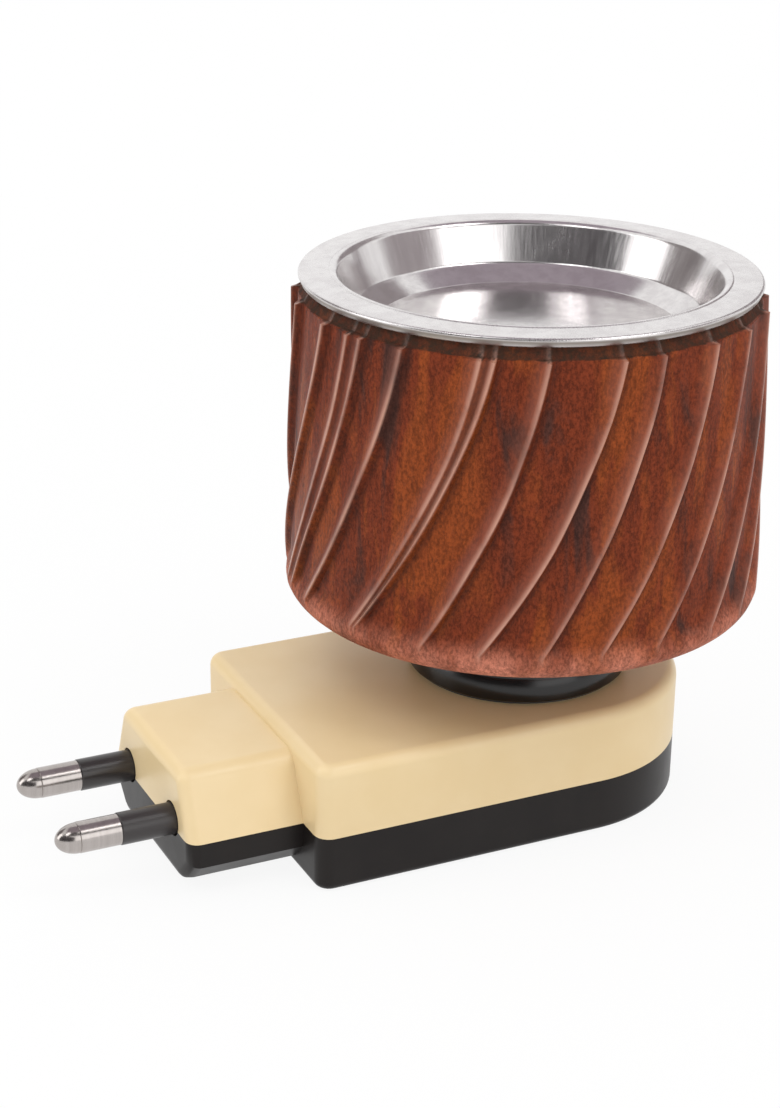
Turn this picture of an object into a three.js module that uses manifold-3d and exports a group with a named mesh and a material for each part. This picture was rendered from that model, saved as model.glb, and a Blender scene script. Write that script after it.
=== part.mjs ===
// Electric camphor burner that plugs straight into a wall socket. A two-shell housing carries a
// round-pin plug; a black collar and a carved wooden cup swivel on it, on a hollow spindle; a metal
// dish for the camphor sits in the cup, on a plate with a small electric heater under it.
// Millimetres, +Z up. The origin is on the housing's base, under the axis of the cup, and +X points
// from the pins to the housing's rounded end.

import * as THREE from 'three';
import { mergeVertices } from 'three/addons/utils/BufferGeometryUtils.js';
import Module from 'manifold-3d';

const wasm = await Module();
wasm.setup();

// Housing shells
const housingWidth = 47;
const housingHeight = 21;
const seamHeight = 9;
const stepReach = 45.5; // from the cup axis back to the step where the neck begins
const endReach = 26.75; // from the cup axis forward to the rounded end
const cornerRound = 2.5;
const topRound = 1.9;
const footRound = 1.2;
const shellWall = 2;
const roofThickness = 2.5;
const floorThickness = 2;

// Neck that carries the pins, an eight-sided section
const neckLength = 18.5;
const neckWidth = 34;
const neckTopWidth = 25.6;
const neckFootWidth = 25;
const neckTopHeight = 19.3;
const neckWaistHeight = 5;
const neckFootHeight = 0.6;
const neckRound = 2;
const ribDepth = 1.6;
const ribThickness = 1.5;

// Plug pins and what holds them
const pinSpacing = 19;
const pinDiameter = 4.8;
const pinReach = 18.5;
const pinHeight = 10.3;
const pinNose = 3.4;
const sleeveReach = 8.6;
const sleeveDiameter = 5;
const sleeveWall = 0.5;
const shankFit = 0.15; // gap between a sleeve and the shank inside it
const carrierThickness = 5.5;
const pinFlangeDiameter = 6.8;
const pinFlangeThickness = 2;
const backplateThickness = 1.5;
const tailDiameter = 2.4;
const tailLength = 3.5;
const crimpWall = 0.6;
const crimpLength = 8;

// Housing screws
const housingScrewDiameter = 2.6;
const housingScrewHeadDiameter = 5.2;
const housingScrewHeadHeight = 1.8;
const housingScrewSink = 0.7; // from the base up to the screw's head
const housingScrewBite = 5; // thread length above the seam
const bossDiameter = 6.4;
const postDiameter = 8.4;
const backBossInset = 7.5; // from the step, and from the sides
const frontBossInset = 6; // from the rounded end
const frontBossAngle = 50;

// Swivel between housing and cup
const thrustThickness = 0.5;
const thrustMargin = 0.9; // how far the thrust washer stays inside the collar
const journalDiameter = 14;
const journalSeat = 2; // height of the journal inside the collar
const runningFit = 0.3;
const spindleFlangeDiameter = 22;
const spindleFlangeThickness = 2;
const waveSpace = 1.2; // between the spindle's flange and the roof
const waveThickness = 0.4;
const waveCount = 3;
const waveLift = 0.05; // air over the crests
const stemDiameter = 10;
const stemBore = 7.2;
const stemEnd = 0.9; // stem standing above the nut
const tabDiameter = 29;
const tabHalfAngle = 10;
const stopGap = 1; // degrees left between tab and stop at the end of the swing
const stopHalfAngle = 8;
const stopInset = 0.6; // from the spindle's flange to the stops
const stopDepth = 4.4;
const swing = 90;
const sleevingBore = 5.2;
const sleevingWall = 0.6;
const sleevingTail = 2; // sleeving showing below the spindle

// Collar
const collarDiameter = 35.8;
const collarHeight = 12.3;
const collarEdge = 0.8;
const grooveInner = 19;
const grooveOuter = 29;
const collarWeb = 4.5; // solid height above the groove in the collar's underside
const collarScrewDiameter = 3;
const collarScrewHeadDiameter = 4.4;
const collarScrewHeadHeight = 2;
const collarScrewBite = 5;
const collarScrewCount = 3;

// Dish
const dishSheet = 0.8;
const wellDiameter = 59;
const wellLip = 0.6;
const wellDraft = 2.4; // how far the well draws in on each side, down to its floor
const rimWidth = 6.3;
const rimEdge = 0.3;
const skirtDepth = 1.7;
const dishDepth = 6.5;
const slopeWidth = 3.6; // ring that slopes from the wall's foot down to the flat floor
const recessDepth = 2.3;
const rimDiameter = wellDiameter + 2 * rimWidth;
const dishFloorDiameter = wellDiameter - 2 * wellDraft;
const recessDiameter = dishFloorDiameter - 2 * slopeWidth;

// Wooden cup, sized to the dish
const wellGap = 0.9; // round the dish's well
const rimOverhang = 1.1; // of the dish's rim past the land under it
const bevelRun = 2.25;
const bevelRise = 1.7;
const cupTaper = 1.2; // how far the side spreads, down to the foot
const cupSideHeight = 49.5; // from the foot to the edge where the bevel begins
const cupFloor = 7;
const cupRound = 4.6;
const cupBore = wellDiameter + 2 * (dishSheet + wellGap);
const landDiameter = rimDiameter - 2 * rimOverhang;
const cupTopDiameter = landDiameter + 2 * bevelRun;
const cupFootDiameter = cupTopDiameter + 2 * cupTaper;
const landRise = 1.2; // upright face between the bevel and the land under the dish's rim
const fluteCount = 24;
const fluteDepth = 1.2;
const fluteFade = 7; // height over which the flutes run out at the foot
const fluteStart = -115.8; // direction of one ridge at the top edge, in degrees
const fluteLean = 0.276; // degrees per millimetre at the top edge
const fluteLeanGrowth = 0.00758; // degrees per square millimetre going down

// Parts clamped inside the cup
const linerGap = 0.4;
const linerSheet = 0.8;
const linerHeadroom = 1; // from the liner's edge up to the dish
const plateGap = 0.7; // round the base plate and the heater plate
const basePlateThickness = 1.5;
const lockWasherDiameter = 18;
const lockWasherThickness = 1;
const nutAcrossFlats = 16;
const nutHeight = 5;
const boreFit = 0.3;
const standoffDiameter = 4.4;
const standoffInset = 0.3;
const standoffCount = 3;
const standoffStart = 45; // direction of the first standoff, clear of the heater's ears and tabs
const spigotDiameter = 3;
const spigotShort = 0.2; // spigot ends this far above the base plate's underside
const plateScrewDiameter = 2.2;
const plateScrewHeadDiameter = 4;
const plateScrewHeadHeight = 1.6;
const plateScrewSink = 0.2;
const plateScrewBite = 6;
const plateScrewBore = 8;

// Heater under the plate
const heaterPlateThickness = 3;
const micaThickness = 0.4;
const micaDiameter = 24;
const electrodeThickness = 0.4;
const electrodeDiameter = 20;
const ptcThickness = 2.6;
const ptcDiameter = 18;
const springSpace = 3.2;
const springSheet = 0.4;
const springWidth = 6;
const springLength = 20;
const springAir = 0.1;
const holderDiameter = 30;
const holderFloor = 3;
const holderFit = 0.6;
const earCentre = 18.5;
const earDiameter = 8;
const earThickness = 3;
const holderScrewDiameter = 2.6;
const holderScrewHeadDiameter = 4.6;
const holderScrewHeadHeight = 2;
const holderScrewBite = 2;
const tabWidth = 5;
const tabReach = 20.4; // from the axis to the outside of an electrode's tab
const tabDrop = 9;
const tabFit = 0.25;

// Wiring
const wireDiameter = 2;
const wireOffset = 1.3; // of each lead from the axis, inside the spindle
const leadSplit = 1; // height of the break in the leads above the housing
const leadGap = 0.3;
const connectorWidth = 6.8;
const connectorThickness = 3.2;
const connectorGrip = 4.5; // tab length inside a connector
const connectorTail = 3; // connector below the end of the tab
const fuseDiameter = 4;
const fuseLength = 9;
const fuseStart = 8; // from the axis to the fuse's inner end
const fuseDrop = 4; // from a connector down to the fuse
const fuseTailDiameter = 1.2;
const fuseSocket = 2;

// Facets of round pieces
const wideSides = 48;
const mediumSides = 32;
const smallSides = 16;
const tinySides = 10;
const endSteps = 24; // round the housing's end
const flutePoints = 3;
const fluteRows = 6;
const arcSteps = 3;
const wireSides = 8;
const lowerLeadSteps = 16;
const upperLeadSteps = 14;
const fuseTailSteps = 8;
const springSteps = 8;
const weld = 1e-4;
const overcut = 1; // how far a cutter stands past the face that it cuts

// Heights
const roofUnder = housingHeight - roofThickness;
const flangeTop = roofUnder - waveSpace;
const flangeLow = flangeTop - spindleFlangeThickness;
const collarLow = housingHeight + thrustThickness;
const shoulder = collarLow + journalSeat;
const cupLow = collarLow + collarHeight;
const cupFloorTop = cupLow + cupFloor;
const cupEdge = cupLow + cupSideHeight;
const bevelTop = cupEdge + bevelRise;
const land = bevelTop + landRise;
const rimTop = land + dishSheet;
const dishFloorTop = rimTop - dishDepth;
const recessTop = dishFloorTop - recessDepth;
const heaterTop = recessTop - dishSheet;
const heaterLow = heaterTop - heaterPlateThickness;
const basePlateLow = cupFloorTop + linerSheet;
const basePlateTop = basePlateLow + basePlateThickness;
const nutLow = basePlateTop + lockWasherThickness;
const stemTop = nutLow + nutHeight + stemEnd;
const splitHeight = housingHeight + leadSplit;

// Places along the plug
const faceX = -(stepReach + neckLength);
const carrierX = faceX + shellWall;
const flangeX = carrierX + carrierThickness;
const backplateX = flangeX + pinFlangeThickness;
const tailX = backplateX + backplateThickness;
const crimpX = tailX + boreFit;
const crimpEnd = crimpX + crimpLength;
const ribX = tailX + boreFit;
const endCentre = endReach - housingWidth / 2;

// Radii that several pieces share
const journalHole = journalDiameter / 2 + runningFit;
const stemHole = stemDiameter / 2 + boreFit;
const linerRadius = cupBore / 2 - linerGap;
const plateRadius = linerRadius - linerSheet - plateGap;
const standoffCircle = plateRadius - standoffDiameter / 2 - standoffInset;
const grooveCircle = (grooveInner + grooveOuter) / 4;
const sleeveHole = sleeveDiameter / 2 + boreFit;
const crimpBore = tailDiameter / 2 + boreFit;
const deg = Math.PI / 180;
const latheStart = -90; // direction of a turned piece's first facet edge, in degrees

// Colours and surfaces
const cream = { color: 0xe2cda4, roughness: 0.45, metalness: 0 };
const darkPlastic = { color: 0x2d2524, roughness: 0.4, metalness: 0 };
const blackGloss = { color: 0x0d0c0c, roughness: 0.12, metalness: 0 };
const rosewood = { color: 0x78371f, roughness: 0.5, metalness: 0 };
const satinSteel = { color: 0xb9b8b4, roughness: 0.35, metalness: 1 };
const nickel = { color: 0xd6d3cc, roughness: 0.18, metalness: 1 };
const sleeveBlack = { color: 0x262626, roughness: 0.5, metalness: 0 };
const zincSteel = { color: 0x9b9b98, roughness: 0.4, metalness: 1 };
const aluminium = { color: 0xc4c6c8, roughness: 0.45, metalness: 1 };
const ceramic = { color: 0xe9e4da, roughness: 0.6, metalness: 0 };
const mica = { color: 0xc9b68a, roughness: 0.4, metalness: 0 };
const brass = { color: 0xb99752, roughness: 0.35, metalness: 1 };
const insulator = { color: 0x3a3634, roughness: 0.6, metalness: 0 };
const wireRed = { color: 0x8e2a22, roughness: 0.5, metalness: 0 };
const wireBlue = { color: 0x2d4c86, roughness: 0.5, metalness: 0 };
const glassFibre = { color: 0xd9d2c0, roughness: 0.8, metalness: 0 };

// A solid from a closed geometry, with its shared corners merged.
function solid(geometry) {
  geometry.deleteAttribute('normal');
  geometry.deleteAttribute('uv');
  const merged = mergeVertices(geometry, weld);
  const index = merged.index.array;
  const corners = [];
  for (let i = 0; i < index.length; i += 3) {
    const [a, b, c] = index.slice(i, i + 3);
    if (a !== b && b !== c && c !== a) corners.push(a, b, c);
  }
  const vertProperties = new Float32Array(merged.attributes.position.array);
  const triVerts = new Uint32Array(corners);
  return new wasm.Manifold(new wasm.Mesh({ numProp: 3, vertProperties, triVerts }));
}

// A named mesh from a solid, added to a group.
function place(group, name, body, finish) {
  const { vertProperties, triVerts } = body.getMesh();
  const geometry = new THREE.BufferGeometry();
  geometry.setAttribute('position', new THREE.BufferAttribute(vertProperties, 3));
  geometry.setIndex(new THREE.BufferAttribute(triVerts, 1));
  geometry.computeVertexNormals();
  const mesh = new THREE.Mesh(geometry, new THREE.MeshStandardMaterial(finish));
  mesh.name = name;
  group.add(mesh);
}

// Maps a shape drawn in X and Y, and its depth along Z, to Y and Z, and X.
const alongX = new THREE.Matrix4().makeBasis(
  new THREE.Vector3(0, 1, 0),
  new THREE.Vector3(0, 0, 1),
  new THREE.Vector3(1, 0, 0),
);

// Points on an arc, both ends included, for a shape or a turned outline.
function arc(centreX, centreY, radius, from, to, steps = arcSteps) {
  return Array.from({ length: steps + 1 }, (_, i) => {
    const angle = (from + ((to - from) * i) / steps) * deg;
    return [centreX + radius * Math.cos(angle), centreY + radius * Math.sin(angle)];
  });
}

// An outline of [radius, height] points, closed or ending on the axis, turned about Z.
function lathe(outline, sides) {
  const points = outline.map(([radius, height]) => new THREE.Vector2(radius, height));
  return new THREE.LatheGeometry(points, sides).rotateX(Math.PI / 2);
}

function turned(outline, sides = wideSides) {
  return solid(lathe(outline, sides));
}

function turnedAlongX(outline, sides = smallSides) {
  return solid(lathe(outline, sides).applyMatrix4(alongX));
}

// Outlines of a plain rod and of a plain ring.
function rodOutline(radius, low, high) {
  return [[0, low], [radius, low], [radius, high], [0, high]];
}

function ringOutline(inner, outer, low, high) {
  return [[outer, low], [outer, high], [inner, high], [inner, low], [outer, low]];
}

function rodAt(x, y, radius, low, high, sides = smallSides) {
  return solid(lathe(rodOutline(radius, low, high), sides).translate(x, y, 0));
}

function block(x0, x1, y0, y1, z0, z1) {
  const box = new THREE.BoxGeometry(x1 - x0, y1 - y0, z1 - z0);
  return solid(box.translate((x0 + x1) / 2, (y0 + y1) / 2, (z0 + z1) / 2));
}

// A flat outline of [x, y] points drawn up from one height to another, its edges rounded.
function slabGeometry(points, low, high, round = 0) {
  const shape = new THREE.Shape(points.map(([x, y]) => new THREE.Vector2(x, y)));
  const geometry = new THREE.ExtrudeGeometry(shape, {
    depth: high - low - 2 * round,
    bevelEnabled: round > 0,
    bevelThickness: round,
    bevelSize: round,
    bevelOffset: -round,
    bevelSegments: arcSteps,
  });
  return geometry.translate(0, 0, low + round);
}

function slab(points, low, high, round) {
  return solid(slabGeometry(points, low, high, round));
}

function slabAlongX(points, low, high, round) {
  return solid(slabGeometry(points, low, high, round).applyMatrix4(alongX));
}

// A piece of a ring between two radii, about a direction in degrees.
function sector(inner, outer, middle, halfAngle, low, high) {
  const outside = arc(0, 0, outer, middle - halfAngle, middle + halfAngle);
  const inside = arc(0, 0, inner, middle + halfAngle, middle - halfAngle);
  return slab([...outside, ...inside], low, high);
}

// A round wire along a smooth line through points.
function wire(points, diameter, steps) {
  const path = new THREE.CatmullRomCurve3(points.map((point) => new THREE.Vector3(...point)), false);
  const section = around(wireSides, diameter / 2).map(([x, y]) => new THREE.Vector2(x, y));
  return solid(new THREE.ExtrudeGeometry(new THREE.Shape(section), { steps, extrudePath: path }));
}

// A convex outline, anticlockwise, drawn in by an even margin.
function drawnIn(points, margin) {
  return points.map((corner, i) => {
    const [x, y] = corner;
    const [beforeX, beforeY] = points.at(i - 1);
    const [afterX, afterY] = points[(i + 1) % points.length];
    const inward = new THREE.Vector2(beforeY - y, x - beforeX).normalize();
    const nextInward = new THREE.Vector2(y - afterY, afterX - x).normalize();
    const reach = margin / (1 + inward.dot(nextInward));
    return [x + (inward.x + nextInward.x) * reach, y + (inward.y + nextInward.y) * reach];
  });
}

// A cheese-head screw standing on its head's underside, thread upwards or downwards.
function screwOutline(headRadius, headHeight, radius, bite) {
  return [
    [0, -headHeight],
    [headRadius, -headHeight],
    [headRadius, 0],
    [radius, 0],
    [radius, bite],
    [0, bite],
  ];
}

function screwUp(x, y, seat, head, headHeight, diameter, bite) {
  const outline = screwOutline(head / 2, headHeight, diameter / 2, bite);
  return solid(lathe(outline, tinySides).translate(x, y, seat));
}

function screwDown(x, y, seat, head, headHeight, diameter, bite) {
  const outline = screwOutline(head / 2, headHeight, diameter / 2, bite);
  return solid(lathe(outline, tinySides).rotateX(Math.PI).translate(x, y, seat));
}

// Places spread evenly round the axis.
function around(count, radius, start = 0) {
  return Array.from({ length: count }, (_, i) => {
    const angle = (start + (360 * i) / count) * deg;
    return [radius * Math.cos(angle), radius * Math.sin(angle)];
  });
}

function housingOutline(inset) {
  const half = housingWidth / 2 - inset;
  const back = inset - stepReach + cornerRound;
  return [
    ...arc(endCentre, 0, half, -90, 90, endSteps),
    ...arc(back, half - cornerRound, cornerRound, 90, 180),
    ...arc(back, cornerRound - half, cornerRound, 180, 270),
  ];
}

const neckSection = [
  [neckFootWidth / 2, neckFootHeight],
  [neckWidth / 2, neckWaistHeight],
  [neckWidth / 2, seamHeight],
  [neckTopWidth / 2, neckTopHeight],
  [-neckTopWidth / 2, neckTopHeight],
  [-neckWidth / 2, seamHeight],
  [-neckWidth / 2, neckWaistHeight],
  [-neckFootWidth / 2, neckFootHeight],
];

const pinSides = [['line', 1], ['neutral', -1]];

const screwPlaces = [
  [backBossInset - stepReach, backBossInset - housingWidth / 2],
  [backBossInset - stepReach, housingWidth / 2 - backBossInset],
  ...[-frontBossAngle, frontBossAngle].map((angle) => {
    const radius = housingWidth / 2 - frontBossInset;
    return [endCentre + radius * Math.cos(angle * deg), radius * Math.sin(angle * deg)];
  }),
];

const standoffPlaces = around(standoffCount, standoffCircle, standoffStart);

// Neck from the pin face into the housing, rounded at the face.
function neckBlock() {
  return slabAlongX(neckSection, faceX, shellWall + neckRound - stepReach, neckRound);
}

// What both shells leave open inside: the main room, the pin pocket and the way between them.
function housingRoom() {
  const mainRoom = slab(housingOutline(shellWall), floorThickness, roofUnder);
  const pocket = slabAlongX(drawnIn(neckSection, shellWall), carrierX, ribX);
  const ribBack = ribX + ribThickness;
  const throat = slabAlongX(drawnIn(neckSection, shellWall + ribDepth), carrierX, ribBack + overcut);
  const mouth = slabAlongX(drawnIn(neckSection, shellWall), ribBack, overcut + shellWall - stepReach);
  return mainRoom.add(pocket).add(throat).add(mouth);
}

function pinHoles() {
  const [first, second] = pinSides.map(([, side]) => {
    const hole = turnedAlongX(rodOutline(sleeveHole, faceX - overcut, carrierX + overcut));
    return hole.translate([0, (side * pinSpacing) / 2, pinHeight]);
  });
  return first.add(second);
}

// Everything above, or below, the seam between the shells.
function seamHalf(above) {
  const reach = stepReach + neckLength + overcut;
  const far = housingHeight + overcut;
  return above
    ? block(-reach, reach, -housingWidth, housingWidth, seamHeight, far)
    : block(-reach, reach, -housingWidth, housingWidth, -overcut, seamHeight);
}

function upperShell() {
  const outside = slab(housingOutline(0), 0, housingHeight, topRound).add(neckBlock());
  let shell = outside.subtract(housingRoom());
  for (const [x, y] of screwPlaces) {
    shell = shell.add(rodAt(x, y, bossDiameter / 2, seamHeight, roofUnder + roofThickness / 2));
  }
  const stopAngle = 180 - tabHalfAngle - swing - stopGap - stopHalfAngle;
  const stopInner = spindleFlangeDiameter / 2 + stopInset;
  const stopTop = roofUnder + roofThickness / 2;
  for (const angle of [stopAngle, -stopAngle]) {
    shell = shell.add(sector(stopInner, stopInner + stopDepth, angle, stopHalfAngle, flangeLow, stopTop));
  }
  for (const [x, y] of screwPlaces) {
    const radius = housingScrewDiameter / 2 + boreFit;
    const top = seamHeight + housingScrewBite + overcut;
    shell = shell.subtract(rodAt(x, y, radius, seamHeight - overcut, top, tinySides));
  }
  const spindleHole = rodAt(0, 0, journalHole, roofUnder - overcut, housingHeight + overcut, mediumSides);
  return shell.subtract(spindleHole).subtract(pinHoles()).intersect(seamHalf(true));
}

function lowerShell() {
  const outside = slab(housingOutline(0), 0, housingHeight, footRound).add(neckBlock());
  let shell = outside.subtract(housingRoom());
  for (const [x, y] of screwPlaces) {
    shell = shell.add(rodAt(x, y, postDiameter / 2, floorThickness / 2, seamHeight));
  }
  const seat = housingScrewSink + housingScrewHeadHeight;
  for (const [x, y] of screwPlaces) {
    const headHole = rodAt(x, y, housingScrewHeadDiameter / 2 + boreFit, -overcut, seat, tinySides);
    const shankHole = rodAt(x, y, housingScrewDiameter / 2 + boreFit, 0, seamHeight + overcut, tinySides);
    shell = shell.subtract(headHole).subtract(shankHole);
  }
  return shell.subtract(pinHoles()).intersect(seamHalf(false));
}

// Insulating plates across the pin pocket, with a hole for each pin.
function pocketPlate(low, high, holeRadius) {
  let plate = slabAlongX(drawnIn(neckSection, shellWall + boreFit), low, high);
  for (const [, side] of pinSides) {
    const hole = turnedAlongX(rodOutline(holeRadius, low - overcut, high + overcut));
    plate = plate.subtract(hole.translate([0, (side * pinSpacing) / 2, pinHeight]));
  }
  return plate;
}

function pin() {
  const radius = pinDiameter / 2;
  const shank = sleeveDiameter / 2 - sleeveWall - shankFit;
  const nose = Array.from({ length: arcSteps + 1 }, (_, i) => {
    const angle = (90 * deg * i) / arcSteps;
    return [radius * Math.sin(angle), faceX - pinReach + pinNose * (1 - Math.cos(angle))];
  });
  return turnedAlongX([
    ...nose,
    [radius, faceX - sleeveReach],
    [shank, faceX - sleeveReach],
    [shank, flangeX],
    [pinFlangeDiameter / 2, flangeX],
    [pinFlangeDiameter / 2, backplateX],
    [tailDiameter / 2, backplateX],
    [tailDiameter / 2, tailX + tailLength],
    [0, tailX + tailLength],
  ]);
}

function pinSleeve() {
  const outer = sleeveDiameter / 2;
  return turnedAlongX(ringOutline(outer - sleeveWall, outer, faceX - sleeveReach, flangeX - boreFit));
}

function crimp() {
  return turnedAlongX(ringOutline(crimpBore, crimpBore + crimpWall, crimpX, crimpEnd));
}

// Lead from a crimp, down along the housing's floor and up into the spindle.
function lowerLead(side) {
  const y = (side * pinSpacing) / 2;
  const near = side * wireOffset;
  const low = floorThickness + wireDiameter;
  return wire([
    [crimpEnd - 2.5, y, pinHeight],
    [crimpEnd + 2, y, pinHeight],
    [crimpEnd + 14, y * 0.7, low + 2],
    [crimpEnd + 26, y * 0.4, low],
    [-9, near * 1.6, low],
    [-2.6, near * 1.1, low + 2.8],
    [0, near, flangeLow - 4],
    [0, near, flangeLow],
    [0, near, splitHeight],
  ], wireDiameter, lowerLeadSteps);
}

function waveWasher() {
  const middle = roofUnder - waveSpace / 2;
  const swell = waveSpace / 2 - waveThickness / 2 - waveLift;
  const inner = journalHole + boreFit;
  const outer = spindleFlangeDiameter / 2 - boreFit;
  const flat = ringOutline(inner, outer, middle - waveThickness / 2, middle + waveThickness / 2);
  const geometry = lathe(flat, mediumSides);
  const { position } = geometry.attributes;
  for (let i = 0; i < position.count; i += 1) {
    const angle = Math.atan2(position.getY(i), position.getX(i));
    position.setZ(i, position.getZ(i) + swell * Math.sin(waveCount * angle));
  }
  return solid(geometry);
}

// Flanged hollow stem; a tab on its flange meets the stops in the housing.
function spindle() {
  const flange = spindleFlangeDiameter / 2;
  const outline = [
    [flange, flangeLow],
    [flange, flangeTop],
    [journalDiameter / 2, flangeTop],
    [journalDiameter / 2, shoulder],
    [stemDiameter / 2, shoulder],
    [stemDiameter / 2, stemTop],
    [stemBore / 2, stemTop],
    [stemBore / 2, flangeLow],
    [flange, flangeLow],
  ];
  const tab = sector(flange - overcut, tabDiameter / 2, 180, tabHalfAngle, flangeLow, flangeTop);
  return turned(outline, mediumSides).add(tab);
}

function collar() {
  const radius = collarDiameter / 2;
  const edge = radius - collarEdge;
  const grooveTop = cupLow - collarWeb;
  let body = turned([
    ...arc(edge, collarLow + collarEdge, collarEdge, -90, 0),
    ...arc(edge, cupLow - collarEdge, collarEdge, 0, 90),
    [stemHole, cupLow],
    [stemHole, shoulder],
    [journalHole, shoulder],
    [journalHole, collarLow],
    [grooveInner / 2, collarLow],
    [grooveInner / 2, grooveTop],
    [grooveOuter / 2, grooveTop],
    [grooveOuter / 2, collarLow],
    [edge, collarLow],
  ], mediumSides);
  for (const [x, y] of around(collarScrewCount, grooveCircle)) {
    const hole = collarScrewDiameter / 2 + boreFit;
    body = body.subtract(rodAt(x, y, hole, grooveTop - overcut, cupLow + overcut, tinySides));
  }
  return body;
}

function fade(amount) {
  const share = Math.min(Math.max(amount, 0), 1);
  return share * share * (3 - 2 * share);
}

// Turned cup whose side is carved in hollow flutes that lean over more and more towards the foot.
function flutedBlank() {
  const foot = cupFootDiameter / 2;
  const slope = (cupTopDiameter - cupFootDiameter) / 2 / cupSideHeight;
  const sideLow = cupLow + cupRound;
  const rows = Array.from({ length: fluteRows + 1 }, (_, i) => {
    const height = sideLow + ((land + overcut - sideLow) * i) / fluteRows;
    return [foot + slope * (height - cupLow), height];
  });
  const rounding = arc(foot + slope * cupRound - cupRound, sideLow, cupRound, -90, 0).slice(0, -1);
  const outline = [[0, cupLow], ...rounding, ...rows, [0, land + overcut]];
  const sides = fluteCount * flutePoints;
  const geometry = lathe(outline, sides);
  const { position } = geometry.attributes;
  for (let i = 0; i < position.count; i += 1) {
    const turn = Math.floor(i / outline.length);
    const [radius, height] = outline[i % outline.length];
    const down = Math.max(cupEdge - height, 0);
    const lean = fluteLean * down + fluteLeanGrowth * down * down;
    const angle = (fluteStart + (360 * turn) / sides - lean) * deg;
    const across = (turn % flutePoints) / flutePoints;
    const depth = fluteDepth * fade((height - cupLow - cupRound / 2) / fluteFade);
    const reach = Math.max(radius - 4 * across * (1 - across) * depth, 0);
    position.setXYZ(i, reach * Math.cos(angle), reach * Math.sin(angle), height);
  }
  return solid(geometry);
}

function woodCup() {
  const outside = cupFootDiameter / 2 + overcut;
  const outsideHeight = cupEdge - ((outside - cupTopDiameter / 2) * bevelRise) / bevelRun;
  const envelope = lathe([
    [0, cupLow - overcut],
    [outside, cupLow - overcut],
    [outside, outsideHeight],
    [landDiameter / 2, bevelTop],
    [landDiameter / 2, land],
    [0, land],
  ], fluteCount * flutePoints).rotateZ((fluteStart - latheStart) * deg);
  const room = turned([
    [0, cupLow - overcut],
    [stemHole, cupLow - overcut],
    [stemHole, cupFloorTop],
    [cupBore / 2, cupFloorTop],
    [cupBore / 2, land + overcut],
    [0, land + overcut],
  ]);
  let cup = flutedBlank().intersect(solid(envelope)).subtract(room);
  for (const [x, y] of around(collarScrewCount, grooveCircle)) {
    const hole = collarScrewDiameter / 2 + boreFit;
    const top = cupLow + collarScrewBite + boreFit;
    cup = cup.subtract(rodAt(x, y, hole, cupLow - overcut, top, tinySides));
  }
  return cup;
}

function dish() {
  const rim = rimDiameter / 2;
  const well = wellDiameter / 2;
  const floorRadius = dishFloorDiameter / 2;
  const recess = recessDiameter / 2;
  const lip = arc(well + wellLip, rimTop - wellLip, wellLip, 90, 180);
  const slopeTurn = Math.atan2(recessDepth, slopeWidth);
  return turned([
    [0, recessTop - dishSheet],
    [recess + dishSheet * Math.tan(slopeTurn / 2), recessTop - dishSheet],
    [floorRadius + dishSheet, dishFloorTop - dishSheet / 2],
    [well + dishSheet, land],
    [rim - dishSheet, land],
    [rim - dishSheet, rimTop - skirtDepth],
    [rim, rimTop - skirtDepth],
    [rim, rimTop - rimEdge],
    [rim - rimEdge, rimTop],
    ...lip,
    [floorRadius, dishFloorTop],
    [recess, recessTop],
    [0, recessTop],
  ]);
}

function liner() {
  const inner = linerRadius - linerSheet;
  const top = dishFloorTop - dishSheet - linerHeadroom;
  return turned([
    [linerRadius, cupFloorTop],
    [linerRadius, top],
    [inner, top],
    [inner, basePlateLow],
    [stemHole, basePlateLow],
    [stemHole, cupFloorTop],
    [linerRadius, cupFloorTop],
  ]);
}

function basePlate() {
  let plate = turned(ringOutline(stemHole, plateRadius, basePlateLow, basePlateTop));
  for (const [x, y] of standoffPlaces) {
    const hole = spigotDiameter / 2 + boreFit;
    plate = plate.subtract(rodAt(x, y, hole, basePlateLow - overcut, basePlateTop + overcut, tinySides));
  }
  return plate;
}

function lockNut() {
  const hexagon = around(6, nutAcrossFlats / Math.sqrt(3));
  const hole = rodAt(0, 0, stemHole, nutLow - overcut, nutLow + nutHeight + overcut, mediumSides);
  return slab(hexagon, nutLow, nutLow + nutHeight, 0).subtract(hole);
}

// Pillar between the base plate and the heater plate, drilled from above for its screw.
function standoff(x, y) {
  const bore = plateScrewDiameter / 2 + boreFit;
  const outline = [
    [0, basePlateLow + spigotShort],
    [spigotDiameter / 2, basePlateLow + spigotShort],
    [spigotDiameter / 2, basePlateTop],
    [standoffDiameter / 2, basePlateTop],
    [standoffDiameter / 2, heaterLow],
    [bore, heaterLow],
    [bore, heaterLow - plateScrewBore],
    [0, heaterLow - plateScrewBore],
  ];
  return solid(lathe(outline, tinySides).translate(x, y, 0));
}

const plateScrewSeat = heaterTop - plateScrewSink - plateScrewHeadHeight;

function heaterPlate() {
  let plate = turned(rodOutline(plateRadius, heaterLow, heaterTop));
  for (const [x, y] of standoffPlaces) {
    const shank = plateScrewDiameter / 2 + boreFit;
    const head = plateScrewHeadDiameter / 2 + boreFit;
    plate = plate
      .subtract(rodAt(x, y, shank, heaterLow - overcut, heaterTop, tinySides))
      .subtract(rodAt(x, y, head, plateScrewSeat, heaterTop + overcut, tinySides));
  }
  for (const side of [1, -1]) {
    const radius = holderScrewDiameter / 2 + boreFit;
    const top = heaterLow + holderScrewBite + boreFit;
    plate = plate.subtract(rodAt(side * earCentre, 0, radius, heaterLow - overcut, top, tinySides));
  }
  return plate;
}

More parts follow.
